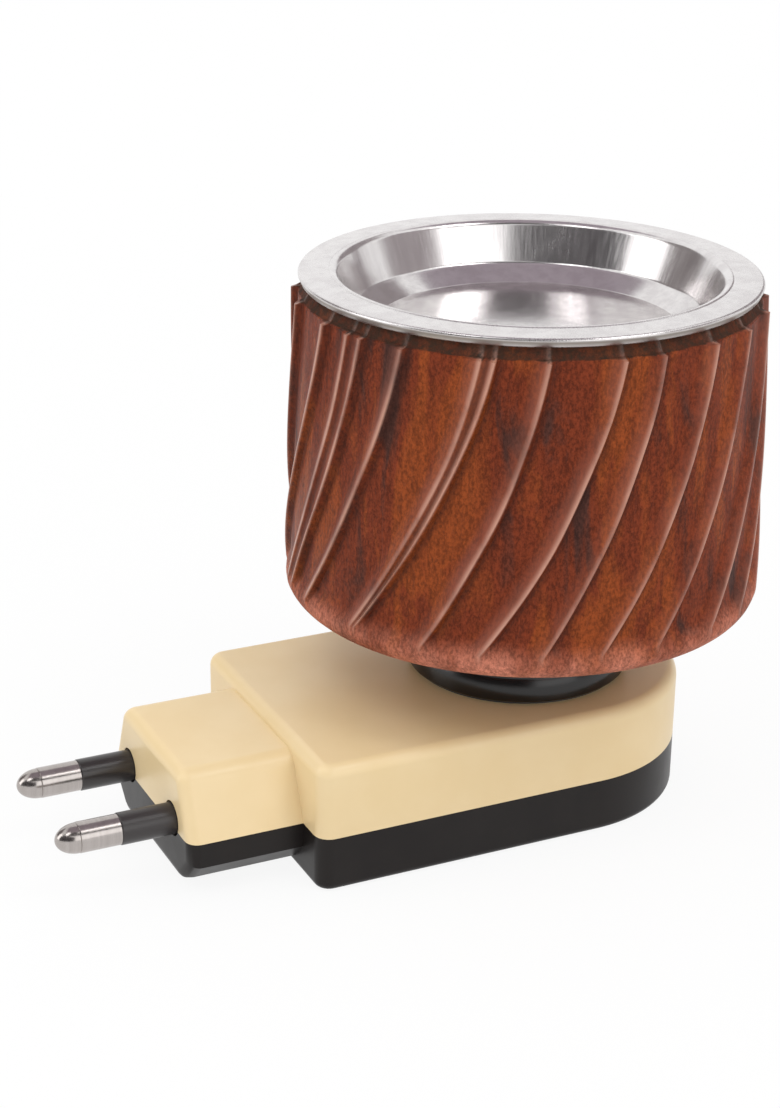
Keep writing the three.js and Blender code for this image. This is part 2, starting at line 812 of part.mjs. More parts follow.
// Heights in the heater stack, from the plate down
const upperMicaLow = heaterLow - micaThickness;
const upperElectrodeLow = upperMicaLow - electrodeThickness;
const ptcLow = upperElectrodeLow - ptcThickness;
const lowerElectrodeLow = ptcLow - electrodeThickness;
const lowerMicaLow = lowerElectrodeLow - micaThickness;
const springLow = lowerMicaLow - springSpace;
const holderLow = springLow - holderFloor;
const earLow = heaterLow - earThickness;

// Ceramic cup round the heater stack, with an ear on each side and a slot for each tab.
function heaterHolder() {
  let holder = turned(rodOutline(holderDiameter / 2, holderLow, heaterLow), mediumSides);
  for (const side of [1, -1]) {
    const ear = rodAt(side * earCentre, 0, earDiameter / 2, earLow, heaterLow, smallSides);
    const [near, far] = [0, side * earCentre].sort((a, b) => a - b);
    const web = block(near, far, -earDiameter / 2, earDiameter / 2, earLow, heaterLow);
    holder = holder.add(ear).add(web);
  }
  const recess = micaDiameter / 2 + holderFit;
  holder = holder.subtract(rodAt(0, 0, recess, springLow, heaterLow + overcut, mediumSides));
  for (const side of [1, -1]) {
    const hole = holderScrewDiameter / 2 + boreFit;
    const drill = rodAt(side * earCentre, 0, hole, earLow - overcut, heaterLow + overcut, tinySides);
    holder = holder.subtract(drill);
  }
  const halfSlot = tabWidth / 2 + holderFit;
  const wall = holderDiameter / 2 + overcut;
  const lowerSlot = block(-halfSlot, halfSlot, -wall, 0, lowerElectrodeLow - boreFit, heaterLow + overcut);
  const upperSlot = block(-halfSlot, halfSlot, 0, wall, upperElectrodeLow - boreFit, heaterLow + overcut);
  return holder.subtract(lowerSlot).subtract(upperSlot);
}

// Bowed leaf that presses the stack against the plate.
function heaterSpring() {
  const half = springLength / 2;
  const low = springLow + springAir;
  const bow = springSpace - 2 * springAir - springSheet;
  const underside = Array.from({ length: springSteps + 1 }, (_, i) => {
    const share = (2 * i) / springSteps - 1;
    return [half * share, low + bow * (1 - share * share)];
  });
  const topside = underside.map(([x, z]) => [x, z + springSheet]).reverse();
  const geometry = slabGeometry([...underside, ...topside], -springWidth / 2, springWidth / 2);
  return solid(geometry.rotateX(Math.PI / 2));
}

// Contact disc with a tab that leaves the holder and bends down; side 1 is towards +Y.
function electrode(low, side) {
  const top = low + electrodeThickness;
  const disc = rodAt(0, 0, electrodeDiameter / 2, low, top, mediumSides);
  const [near, far] = [side * (electrodeDiameter / 2 - overcut), side * tabReach].sort((a, b) => a - b);
  const strip = block(-tabWidth / 2, tabWidth / 2, near, far, low, top);
  const bend = side * (tabReach - electrodeThickness);
  const [inside, outside] = [bend, side * tabReach].sort((a, b) => a - b);
  const leg = block(-tabWidth / 2, tabWidth / 2, inside, outside, top - tabDrop, top);
  return disc.add(strip).add(leg);
}

// Push-on connector on an electrode's tab, open below for the wire.
function connectorLow(low) {
  return low + electrodeThickness - tabDrop - connectorTail;
}

function connector(low, side) {
  const tabEnd = low + electrodeThickness - tabDrop;
  const middle = side * (tabReach - electrodeThickness / 2);
  const halfWide = connectorWidth / 2;
  const halfThick = connectorThickness / 2;
  const halfSlot = electrodeThickness / 2 + tabFit;
  const halfTab = tabWidth / 2 + tabFit;
  const bottom = connectorLow(low);
  const top = tabEnd + connectorGrip;
  const outer = block(-halfWide, halfWide, middle - halfThick, middle + halfThick, bottom, top);
  const slot = block(-halfTab, halfTab, middle - halfSlot, middle + halfSlot, tabEnd - tabFit, top + overcut);
  const wireHole = rodAt(0, middle, wireDiameter / 2 + tabFit, bottom - overcut, tabEnd, tinySides);
  return outer.subtract(slot).subtract(wireHole);
}

const fuseHeight = connectorLow(upperElectrodeLow) - fuseDrop;
const tabMiddle = tabReach - electrodeThickness / 2;

// Fuse in the live lead, with a socket for the lead and a stiff tail up into its connector.
function thermalFuse() {
  const end = fuseStart + fuseLength;
  const socket = wireDiameter / 2 + tabFit;
  const outline = [
    [fuseDiameter / 2, fuseStart],
    [fuseDiameter / 2, end],
    [0, end],
    [0, fuseStart + fuseSocket],
    [socket, fuseStart + fuseSocket],
    [socket, fuseStart],
    [fuseDiameter / 2, fuseStart],
  ];
  const body = solid(lathe(outline, tinySides).rotateX(-Math.PI / 2).translate(0, 0, fuseHeight));
  const tail = wire([
    [0, end - overcut, fuseHeight],
    [0, end + 0.8, fuseHeight],
    [0, tabMiddle - 0.5, fuseHeight + 0.7],
    [0, tabMiddle, fuseHeight + fuseDrop / 2],
    [0, tabMiddle, fuseHeight + fuseDrop + connectorTail - boreFit],
  ], fuseTailDiameter, fuseTailSteps);
  return body.add(tail);
}

function upperLineLead() {
  return wire([
    [0, wireOffset, splitHeight + leadGap],
    [0, wireOffset, stemTop],
    [0, wireOffset + 0.6, stemTop + 4],
    [0, fuseStart - 2.5, fuseHeight - 0.6],
    [0, fuseStart, fuseHeight],
    [0, fuseStart + fuseSocket - leadGap, fuseHeight],
  ], wireDiameter, upperLeadSteps);
}

function upperNeutralLead() {
  const entry = connectorLow(lowerElectrodeLow);
  return wire([
    [0, -wireOffset, splitHeight + leadGap],
    [0, -wireOffset, stemTop],
    [0, -wireOffset - 0.6, stemTop + 4],
    [0, -tabMiddle / 2, entry - 5.5],
    [0, -tabMiddle + 2.5, entry - 4],
    [0, -tabMiddle, entry - 0.5],
    [0, -tabMiddle, entry + connectorTail - 2 * leadGap],
  ], wireDiameter, upperLeadSteps);
}

// Plug: everything that stays with the socket
const plug = new THREE.Group();
place(plug, 'upper_shell', upperShell(), cream);
place(plug, 'lower_shell', lowerShell(), darkPlastic);
place(plug, 'pin_carrier', pocketPlate(carrierX, flangeX, sleeveHole), insulator);
place(plug, 'pin_backplate', pocketPlate(backplateX, tailX, crimpBore), insulator);
for (const [name, side] of pinSides) {
  const shift = [0, (side * pinSpacing) / 2, pinHeight];
  place(plug, `pin_${name}`, pin().translate(shift), nickel);
  place(plug, `sleeve_${name}`, pinSleeve().translate(shift), sleeveBlack);
  place(plug, `terminal_${name}`, crimp().translate(shift), brass);
  place(plug, `lead_${name}_lower`, lowerLead(side), side > 0 ? wireRed : wireBlue);
}
const thrustOuter = collarDiameter / 2 - thrustMargin;
const thrustRing = ringOutline(journalHole + boreFit, thrustOuter, housingHeight, collarLow);
place(plug, 'thrust_washer', turned(thrustRing, mediumSides), insulator);
screwPlaces.forEach(([x, y], i) => {
  const seat = housingScrewSink + housingScrewHeadHeight;
  const bite = seamHeight + housingScrewBite - seat;
  const [head, height] = [housingScrewHeadDiameter, housingScrewHeadHeight];
  const screw = screwUp(x, y, seat, head, height, housingScrewDiameter, bite);
  place(plug, `housing_screw_${i + 1}`, screw, zincSteel);
});

// Cup: everything that turns with the spindle
const cup = new THREE.Group();
place(cup, 'spindle', spindle(), zincSteel);
place(cup, 'wave_washer', waveWasher(), zincSteel);
const sleevingRing = ringOutline(
  sleevingBore / 2,
  sleevingBore / 2 + sleevingWall,
  flangeLow - sleevingTail,
  stemTop + stemEnd,
);
place(cup, 'sleeving', turned(sleevingRing, smallSides), glassFibre);
place(cup, 'collar', collar(), blackGloss);
around(collarScrewCount, grooveCircle).forEach(([x, y], i) => {
  const seat = cupLow - collarWeb;
  const bite = collarWeb + collarScrewBite;
  const [head, height] = [collarScrewHeadDiameter, collarScrewHeadHeight];
  const screw = screwUp(x, y, seat, head, height, collarScrewDiameter, bite);
  place(cup, `collar_screw_${i + 1}`, screw, zincSteel);
});
place(cup, 'wood_cup', woodCup(), rosewood);
place(cup, 'liner', liner(), zincSteel);
place(cup, 'base_plate', basePlate(), zincSteel);
const washerRing = ringOutline(stemHole, lockWasherDiameter / 2, basePlateTop, nutLow);
place(cup, 'lock_washer', turned(washerRing, mediumSides), zincSteel);
place(cup, 'lock_nut', lockNut(), zincSteel);
standoffPlaces.forEach(([x, y], i) => {
  const bite = plateScrewSeat - heaterLow + plateScrewBite;
  const [head, height] = [plateScrewHeadDiameter, plateScrewHeadHeight];
  const screw = screwDown(x, y, plateScrewSeat, head, height, plateScrewDiameter, bite);
  place(cup, `standoff_${i + 1}`, standoff(x, y), brass);
  place(cup, `plate_screw_${i + 1}`, screw, zincSteel);
});
place(cup, 'heater_plate', heaterPlate(), aluminium);
place(cup, 'heater_holder', heaterHolder(), ceramic);
[1, -1].forEach((side, i) => {
  const bite = earThickness + holderScrewBite;
  const [head, height] = [holderScrewHeadDiameter, holderScrewHeadHeight];
  const screw = screwUp(side * earCentre, 0, earLow, head, height, holderScrewDiameter, bite);
  place(cup, `holder_screw_${i + 1}`, screw, zincSteel);
});
place(cup, 'heater_spring', heaterSpring(), zincSteel);
place(cup, 'mica_lower', rodAt(0, 0, micaDiameter / 2, lowerMicaLow, lowerElectrodeLow), mica);
place(cup, 'electrode_lower', electrode(lowerElectrodeLow, -1), brass);
place(cup, 'ptc_element', rodAt(0, 0, ptcDiameter / 2, ptcLow, upperElectrodeLow), ceramic);
place(cup, 'electrode_upper', electrode(upperElectrodeLow, 1), brass);
place(cup, 'mica_upper', rodAt(0, 0, micaDiameter / 2, upperMicaLow, heaterLow), mica);
place(cup, 'tab_terminal_line', connector(upperElectrodeLow, 1), brass);
place(cup, 'tab_terminal_neutral', connector(lowerElectrodeLow, -1), brass);
place(cup, 'thermal_fuse', thermalFuse(), ceramic);
place(cup, 'lead_line_upper', upperLineLead(), wireRed);
place(cup, 'lead_neutral_upper', upperNeutralLead(), wireBlue);

// Dish: lifts out of the cup
const tray = new THREE.Group();
place(tray, 'dish', dish(), satinSteel);

const burner = new THREE.Group();
burner.add(plug, cup, tray);

export default burner;
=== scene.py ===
"""Looks of an electric camphor burner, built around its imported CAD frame.

Every size is in metres, in the frame's own axes: +Z is up, the cup turns about Z and the plug's
pins point towards -X.
"""

import logging
import math
from collections.abc import Callable, Iterable, Sequence
from dataclasses import dataclass, field
from enum import Enum
from typing import Any

import bmesh
import bpy
from bmesh.types import BMesh, BMEdge, BMVert
from mathutils import Matrix, Quaternion, Vector, noise

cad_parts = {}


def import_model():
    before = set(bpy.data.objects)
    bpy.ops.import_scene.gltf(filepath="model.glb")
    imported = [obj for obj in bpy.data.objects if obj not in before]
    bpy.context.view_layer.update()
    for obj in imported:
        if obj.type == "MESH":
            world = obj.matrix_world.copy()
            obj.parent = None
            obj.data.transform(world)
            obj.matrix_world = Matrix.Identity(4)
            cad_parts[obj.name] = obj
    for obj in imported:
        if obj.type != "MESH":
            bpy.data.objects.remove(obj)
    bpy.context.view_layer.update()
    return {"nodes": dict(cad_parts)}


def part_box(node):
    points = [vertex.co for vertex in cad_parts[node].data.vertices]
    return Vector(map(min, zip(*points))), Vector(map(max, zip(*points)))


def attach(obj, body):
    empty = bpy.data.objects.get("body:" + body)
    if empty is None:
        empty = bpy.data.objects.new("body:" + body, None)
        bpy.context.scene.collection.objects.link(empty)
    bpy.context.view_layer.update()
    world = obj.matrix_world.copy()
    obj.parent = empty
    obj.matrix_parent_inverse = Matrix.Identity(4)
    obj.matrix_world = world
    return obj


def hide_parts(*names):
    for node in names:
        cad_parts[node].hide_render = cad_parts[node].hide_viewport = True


log = logging.getLogger("camphor_burner")

MM = 0.001
PHOTO_HEIGHT = 1108
SENSOR_WIDTH = 36.0
MERGE_DISTANCE = 0.001 * MM
MEASURE_SLACK = 0.01 * MM
CREASE_ANGLE = math.radians(32)
OVERCUT = 1.0 * MM
ROUND_PROFILE = 0.5
VECTOR_SOCKET = "NodeSocketVector"
FLOAT_SOCKET = "NodeSocketFloat"
WHITE = (1.0, 1.0, 1.0)
SIDES = (1, -1)
TOOTH_WEIGHT = 0.7
HAIR_WEIGHT = 0.6
SPECK_FINENESS = 14.0

Point = tuple[float, float]
Outline = list[Point]
Range = tuple[float, float]
Colour = tuple[float, float, float]
Place = tuple[float, float, float]
Socket = bpy.types.NodeSocket
# What a socket can be fed with: another socket, a number, a vector or a colour
Feed = Any


class Body(Enum):
    """Bodies of the frame that pieces ride on."""

    PLUG = "plug"
    CUP = "cup"
    DISH = "dish"


class Slot(Enum):
    """Material slots of the record."""

    CREAM_SHELL = "cream_shell"
    DARK_SHELL = "dark_shell"
    INSULATOR = "insulator"
    NICKEL_PIN = "nickel_pin"
    PIN_SLEEVE = "pin_sleeve"
    BRASS = "brass"
    LEAD_RED = "lead_red"
    LEAD_BLUE = "lead_blue"
    ZINC_STEEL = "zinc_steel"
    GLASS_FIBRE = "glass_fibre"
    BLACK_COLLAR = "black_collar"
    ROSEWOOD = "rosewood"
    HEATER_ALUMINIUM = "heater_aluminium"
    HEATER_CERAMIC = "heater_ceramic"
    MICA = "mica"
    SATIN_DISH = "satin_dish"


class Carving(Enum):
    """How one solid changes another."""

    JOIN = "UNION"
    CUT = "DIFFERENCE"
    KEEP = "INTERSECT"


class Lay(Enum):
    """Direction of the working marks on a metal surface."""

    RINGS = "rings about the cup's axis"
    TURNED = "rings about the length of a pin"
    PLATED = "no direction"


class WoodMark(Enum):
    """What the carving tells the wood's finish about each point."""

    RIDGE = "ridge"
    RISE = "rise"
    HOLLOW = "hollow"
    SAW_CUT = "saw_cut"
    FOOT = "foot"


Tools = list[tuple[Carving, BMesh]]


# Shapes


def arc(centre: Point, radius: float, start: float, end: float, steps: int) -> Outline:
    """Points on an arc of an outline, both ends included.

    Args:
        centre: Radius and height of the arc's centre.
        radius: Radius of the arc.
        start: First angle in degrees, from the outward direction.
        end: Last angle in degrees.
        steps: Number of straight steps.

    Returns:
        The points in order.
    """
    points = []
    for step in range(steps + 1):
        angle = math.radians(start + (end - start) * step / steps)
        points.append((centre[0] + radius * math.cos(angle), centre[1] + radius * math.sin(angle)))
    return points


def along(start: Point, end: Point, steps: int) -> Outline:
    """Points in equal steps along a straight line of an outline, without the first."""
    shares = [(number + 1) / steps for number in range(steps)]
    return [tuple(a + (b - a) * share for a, b in zip(start, end)) for share in shares]


def soft_step(share: float) -> float:
    """Soft step from 0 to 1 while a share goes from 0 to 1."""
    share = min(max(share, 0.0), 1.0)
    return share * share * (3 - 2 * share)


def near(one: float, other: float) -> bool:
    """Whether two measures agree."""
    return abs(one - other) < MEASURE_SLACK


def axis_of(node: str) -> Point:
    """Where the axis of an upright CAD node stands, in X and Y."""
    low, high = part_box(node)
    return (low.x + high.x) / 2, (low.y + high.y) / 2


def tidied(shape: BMesh) -> BMesh:
    """Merge the doubles of a closed shape and point its faces outwards.

    Args:
        shape: The shape to tidy in place.

    Returns:
        The same shape.
    """
    bmesh.ops.remove_doubles(shape, verts=shape.verts[:], dist=MERGE_DISTANCE)
    bmesh.ops.dissolve_degenerate(shape, edges=shape.edges[:], dist=MERGE_DISTANCE)
    bmesh.ops.recalc_face_normals(shape, faces=shape.faces[:])
    return shape


def turned(outline: Outline, steps: int, closed: bool = False, start: float = 0.0) -> BMesh:
    """Turn an outline about Z.

    Args:
        outline: Points of radius and height, from axis to axis unless closed.
        steps: Steps of the full turn.
        closed: Whether the last point joins the first.
        start: Direction of the first outline, in degrees.

    Returns:
        The turned solid.
    """
    shape = bmesh.new()
    across = math.cos(math.radians(start))
    along_y = math.sin(math.radians(start))
    corners = [shape.verts.new((radius * across, radius * along_y, height)) for radius, height in outline]
    pairs = list(zip(corners, corners[1:]))
    if closed:
        pairs.append((corners[-1], corners[0]))
    lines = [shape.edges.new(pair) for pair in pairs]
    bmesh.ops.spin(
        shape,
        geom=corners + lines,
        cent=(0, 0, 0),
        axis=(0, 0, 1),
        angle=math.tau,
        steps=steps,
        use_merge=True,
    )
    return tidied(shape)


def rod(radius: float, low: float, high: float, place: Point = (0, 0), steps: int = 32) -> BMesh:
    """A plain round rod standing at a place.

    Args:
        radius: Radius of the rod.
        low: Height of its lower end.
        high: Height of its upper end.
        place: Where its axis stands in X and Y.
        steps: Facets round the rod.

    Returns:
        The rod.
    """
    shape = turned([(0, low), (radius, low), (radius, high), (0, high)], steps)
    bmesh.ops.translate(shape, verts=shape.verts[:], vec=(*place, 0))
    return shape


def laid_along_x(shape: BMesh, y: float, z: float) -> BMesh:
    """Lay a turned shape down so that its axis runs along X.

    Args:
        shape: The shape, whose heights become places along X.
        y: Where the axis lies in Y.
        z: Where the axis lies in Z.

    Returns:
        The same shape.
    """
    quarter = Matrix.Rotation(math.pi / 2, 3, "Y")
    bmesh.ops.rotate(shape, verts=shape.verts[:], cent=(0, 0, 0), matrix=quarter)
    bmesh.ops.translate(shape, verts=shape.verts[:], vec=(0, y, z))
    return shape


def flat_face(corners: Sequence[Place]) -> BMesh:
    """A flat face.

    Args:
        corners: Its corners in order.

    Returns:
        The flat shape.
    """
    shape = bmesh.new()
    shape.faces.new([shape.verts.new(corner) for corner in corners])
    return shape


def level_sheet(width: float, depth: float) -> BMesh:
    """A level rectangle about the origin.

    Args:
        width: Its size along X.
        depth: Its size along Y.

    Returns:
        The flat shape.
    """
    shape = bmesh.new()
    bmesh.ops.create_grid(shape, x_segments=1, y_segments=1, size=1 / 2)
    bmesh.ops.scale(shape, verts=shape.verts[:], vec=(width, depth, 1))
    return shape


def drawn_out(shape: BMesh, shift: Place) -> BMesh:
    """Draw the faces of a flat shape out into a solid.

    Args:
        shape: The flat shape.
        shift: How far it is drawn.

    Returns:
        The same shape as a closed solid.
    """
    drawn = bmesh.ops.extrude_face_region(shape, geom=shape.faces[:], use_keep_orig=True)
    moved = [item for item in drawn["geom"] if isinstance(item, BMVert)]
    bmesh.ops.translate(shape, verts=moved, vec=shift)
    return tidied(shape)


def rounded(shape: BMesh, edges: Iterable[BMEdge], radius: float, segments: int) -> None:
    """Round edges of a solid.

    Args:
        shape: The solid.
        edges: The edges to round.
        radius: Width of the rounding on each side.
        segments: Facets across the rounding.
    """
    bmesh.ops.bevel(
        shape,
        geom=list(edges),
        offset=radius,
        offset_type="OFFSET",
        segments=segments,
        profile=ROUND_PROFILE,
        affect="EDGES",
        clamp_overlap=False,
        material=-1,
    )


def edges_where(shape: BMesh, test: Callable[[Vector], bool]) -> list[BMEdge]:
    """The edges whose two ends both pass a test of their place."""
    return [edge for edge in shape.edges if all(test(end.co) for end in edge.verts)]


def as_object(name: str, shape: BMesh) -> bpy.types.Object:
    """Put a shape into the scene and free it.

    Args:
        name: Name of the new object.
        shape: The shape.

    Returns:
        The new object, at the origin.
    """
    mesh = bpy.data.meshes.new(name)
    shape.to_mesh(mesh)
    shape.free()
    made = bpy.data.objects.new(name, mesh)
    bpy.context.scene.collection.objects.link(made)
    return made


def carved(shape: BMesh, tools: Tools) -> BMesh:
    """Join a solid to others, or cut it by them, in order.

    Args:
        shape: The solid to start from.
        tools: What happens, and with which solid.

    Returns:
        A new solid. The shapes given are used up.
    """
    work = as_object("carving", shape)
    others = []
    for carving, tool in tools:
        other = as_object("carving_tool", tool)
        step = work.modifiers.new(carving.name, "BOOLEAN")
        step.operation = carving.value
        step.solver = "EXACT"
        step.object = other
        others.append(other)
    result = bmesh.new()
    result.from_object(work, bpy.context.evaluated_depsgraph_get())
    for used in [work, *others]:
        mesh = used.data
        bpy.data.objects.remove(used)
        bpy.data.meshes.remove(mesh)
    bmesh.ops.remove_doubles(result, verts=result.verts[:], dist=MERGE_DISTANCE)
    return result


# Shader nodes


class NodeBoard:
    """A node tree with short ways to add nodes and join them."""

    def __init__(self, tree: bpy.types.NodeTree) -> None:
        """Start on an empty tree."""
        self.tree = tree
        tree.nodes.clear()

    def add(
        self,
        kind: str,
        settings: dict[str, Any] | None = None,
        inputs: dict[str | int, Feed] | None = None,
    ) -> bpy.types.Node:
        """Add a node.

        Args:
            kind: Type name of the node.
            settings: Properties of the node.
            inputs: Values of its sockets, or the sockets that feed them.

        Returns:
            The node.
        """
        node = self.tree.nodes.new(kind)
        for name, value in (settings or {}).items():
            setattr(node, name, value)
        self.feed_all(node, inputs or {})
        return node

    def feed(self, socket: Socket, value: Feed) -> None:
        """Set a socket to a value, or join it to another socket.

        Args:
            socket: The socket to feed.
            value: The value, or the socket that it comes from.
        """
        if isinstance(value, Socket):
            self.tree.links.new(value, socket)
        elif socket.type == "RGBA" and len(value) == 3:
            socket.default_value = (*value, 1.0)
        else:
            socket.default_value = value

    def feed_all(self, node: bpy.types.Node, values: dict[str | int, Feed]) -> None:
        """Feed several sockets of a node, by name or number."""
        for name, value in values.items():
            self.feed(node.inputs[name], value)

    def place(self, scale: Place = (1, 1, 1), shift: Place = (0, 0, 0)) -> Socket:
        """Object coordinates, scaled and then moved.

        Args:
            scale: Scale along each axis.
            shift: How far the scaled place is moved.

        Returns:
            The socket of the vector.
        """
        source = self.add("ShaderNodeTexCoord").outputs["Object"]
        values = {"Vector": source, "Location": shift, "Scale": scale}
        return self.add("ShaderNodeMapping", inputs=values).outputs["Vector"]

    def about_axis(self, place: Feed) -> tuple[Socket, Socket, Socket]:
        """Take a place apart about the axis Z.

        Args:
            place: The place's vector.

        Returns:
            Sockets of the level part, the distance from the axis and the height.
        """
        apart = self.add("ShaderNodeSeparateXYZ", inputs={0: place}).outputs
        level = self.add("ShaderNodeCombineXYZ", inputs={0: apart[0], 1: apart[1]}).outputs[0]
        return level, self.length(level), apart[2]

    def cloud(
        self,
        vector: Feed,
        scale: Feed,
        detail: float = 2,
        roughness: float = 0.5,
        bend: float = 0,
    ) -> Socket:
        """Noise from 0 to 1 over a vector.

        Args:
            vector: Where the noise is read.
            scale: Cells of the noise in a metre.
            detail: How many finer layers are added.
            roughness: Weight of each finer layer.
            bend: How much the noise is swirled.

        Returns:
            The socket of the noise.
        """
        values = {
            "Vector": vector,
            "Scale": scale,
            "Detail": detail,
            "Roughness": roughness,
            "Distortion": bend,
        }
        return self.add("ShaderNodeTexNoise", inputs=values).outputs[0]

    def sum(self, operation: str, first: Feed, second: Feed = 0.0, third: Feed = 0.0) -> Socket:
        """Result of a math node."""
        values = {0: first, 1: second, 2: third}
        return self.add("ShaderNodeMath", {"operation": operation}, values).outputs[0]

    def product(self, first: Feed, second: Feed) -> Socket:
        """Two values multiplied."""
        return self.sum("MULTIPLY", first, second)

    def gain(self, value: Feed, factor: Feed, base: Feed) -> Socket:
        """A base value with a share of another added."""
        return self.sum("MULTIPLY_ADD", value, factor, base)

    def weighed(self, first: Feed, weight: float, second: Feed) -> Socket:
        """Two values added by weights that make 1, of which the first is given."""
        return self.gain(first, weight, self.product(second, 1 - weight))

    def between(self, share: Feed, first: Feed, second: Feed) -> Socket:
        """Two values mixed by a share."""
        return self.gain(self.sum("SUBTRACT", second, first), share, first)

    def vector(self, operation: str, first: Feed, second: Feed = (0, 0, 0)) -> Socket:
        """Result of a vector math node that gives a vector."""
        return self.add("ShaderNodeVectorMath", {"operation": operation}, {0: first, 1: second}).outputs[0]

    def length(self, vector: Feed) -> Socket:
        """Length of a vector."""
        return self.add("ShaderNodeVectorMath", {"operation": "LENGTH"}, {0: vector}).outputs["Value"]

    def brightened(self, colour: Feed, factor: Feed) -> Socket:
        """A colour made lighter or darker by a factor."""
        values = {0: colour, "Scale": factor}
        return self.add("ShaderNodeVectorMath", {"operation": "SCALE"}, values).outputs[0]

    def span(
        self, value: Feed, low: float, high: float, to_low: float = 0.0, to_high: float = 1.0
    ) -> Socket:
        """A value taken smoothly from one range to another, held at both ends."""
        values = {0: value, 1: low, 2: high, 3: to_low, 4: to_high}
        return self.add("ShaderNodeMapRange", {"interpolation_type": "SMOOTHSTEP"}, values).outputs[0]

    def mixed(self, share: Feed, first: Feed, second: Feed) -> Socket:
        """Two colours mixed by a share, held between 0 and 1."""
        settings = {"data_type": "RGBA", "clamp_factor": True}
        return self.add("ShaderNodeMix", settings, {0: share, 6: first, 7: second}).outputs[2]

    def shades(self, value: Feed, stops: Iterable[float], colours: Sequence[Colour]) -> Socket:
        """A colour ramp over a value.

        Args:
            value: The value.
            stops: Where each colour stands.
            colours: The colours in order.

        Returns:
            The socket of the colour.
        """
        node = self.add("ShaderNodeValToRGB", inputs={0: value})
        steps = node.color_ramp.elements
        while len(steps) < len(colours):
            steps.new(1.0)
        for step, stop, colour in zip(steps, stops, colours):
            step.position = stop
            step.color = (*colour, 1.0)
        return node.outputs[0]

    def bump(self, height: Feed, distance: float, strength: float) -> Socket:
        """A normal raised by a height."""
        values = {"Strength": strength, "Distance": distance, "Height": height}
        return self.add("ShaderNodeBump", inputs=values).outputs[0]


def new_material(name: str, lay: Callable[[NodeBoard], Socket]) -> bpy.types.Material:
    """Make a material.

    Args:
        name: Name of the material.
        lay: Adds its shaders to a board and gives the last one's socket.

    Returns:
        The material.
    """
    made = bpy.data.materials.new(name)
    made.use_nodes = True
    board = NodeBoard(made.node_tree)
    board.add("ShaderNodeOutputMaterial", inputs={"Surface": lay(board)})
    return made


@dataclass(frozen=True)
class Effect:
    """A shader node group that several materials share."""

    name: str
    inputs: tuple[tuple[str, str], ...]
    outputs: tuple[str, ...]
    fill: Callable[[NodeBoard, dict[str, Socket]], dict[str, Socket]]

    def group(self) -> bpy.types.NodeTree:
        """The group, built the first time that it is asked for.

        Returns:
            The node group.
        """
        ready = bpy.data.node_groups.get(self.name)
        if ready:
            return ready
        tree = bpy.data.node_groups.new(self.name, "ShaderNodeTree")
        for name, kind in self.inputs:
            tree.interface.new_socket(name, in_out="INPUT", socket_type=kind)
        for name in self.outputs:
            tree.interface.new_socket(name, in_out="OUTPUT", socket_type=FLOAT_SOCKET)
        board = NodeBoard(tree)
        entry = board.add("NodeGroupInput")
        made = self.fill(board, {name: entry.outputs[name] for name, _ in self.inputs})
        board.add("NodeGroupOutput", inputs=made)
        return tree

    def placed(self, board: NodeBoard, inputs: dict[str, Feed]) -> dict[str, Socket]:
        """Place the group on a material's board and give its outputs by name."""
        node = board.add("ShaderNodeGroup", {"node_tree": self.group()}, inputs)
        return {name: node.outputs[name] for name in self.outputs}


def fill_moulded_skin(board: NodeBoard, given: dict[str, Socket]) -> dict[str, Socket]:
    """Skin of a moulding: soft uneven tone, fine tooth and slight waviness.

    Args:
        board: The group's board.
        given: The group's inputs by name.

    Returns:
        The group's outputs by name.
    """
    tone = board.cloud(given["Vector"], given["Broad"], detail=3, roughness=0.55)
    tooth = board.cloud(given["Vector"], given["Fine"], detail=4, roughness=0.6)
    return {"Tone": tone, "Height": board.weighed(tooth, TOOTH_WEIGHT, tone)}


def fill_worked_metal(board: NodeBoard, given: dict[str, Socket]) -> dict[str, Socket]:
    """Working marks of metal: broad and hair-fine streaks along the given vector.

    Args:
        board: The group's board.
        given: The group's inputs by name.

    Returns:
        The group's outputs by name.
    """
    broad = board.cloud(given["Vector"], given["Broad"], detail=3, roughness=0.6)
    hair = board.cloud(given["Vector"], given["Fine"], detail=5, roughness=0.7)
    return {"Streak": broad, "Hair": hair, "Height": board.weighed(hair, HAIR_WEIGHT, broad)}


def fill_handling(board: NodeBoard, given: dict[str, Socket]) -> dict[str, Socket]:
    """Faint smears and dust of handling.

    Args:
        board: The group's board.
        given: The group's inputs by name.

    Returns:
        The group's outputs by name.
    """
    speck_size = board.product(given["Size"], SPECK_FINENESS)
    smear = board.cloud(given["Vector"], given["Size"], detail=4, roughness=0.65, bend=0.8)
    speck = board.cloud(given["Vector"], speck_size, detail=2, roughness=0.5)
    smears = board.span(smear, low=0.48, high=0.78)
    specks = board.span(speck, low=0.68, high=0.8, to_high=0.6)
    return {"Mark": board.sum("MAXIMUM", smears, specks)}


MOULDED_SKIN = Effect(
    "moulded_skin",
    (("Vector", VECTOR_SOCKET), ("Broad", FLOAT_SOCKET), ("Fine", FLOAT_SOCKET)),
    ("Tone", "Height"),
    fill_moulded_skin,
)
WORKED_METAL = Effect(
    "worked_metal",
    (("Vector", VECTOR_SOCKET), ("Broad", FLOAT_SOCKET), ("Fine", FLOAT_SOCKET)),
    ("Streak", "Hair", "Height"),
    fill_worked_metal,
)
HANDLING = Effect(
    "handling_marks",
    (("Vector", VECTOR_SOCKET), ("Size", FLOAT_SOCKET)),
    ("Mark",),
    fill_handling,
)


# Finishes


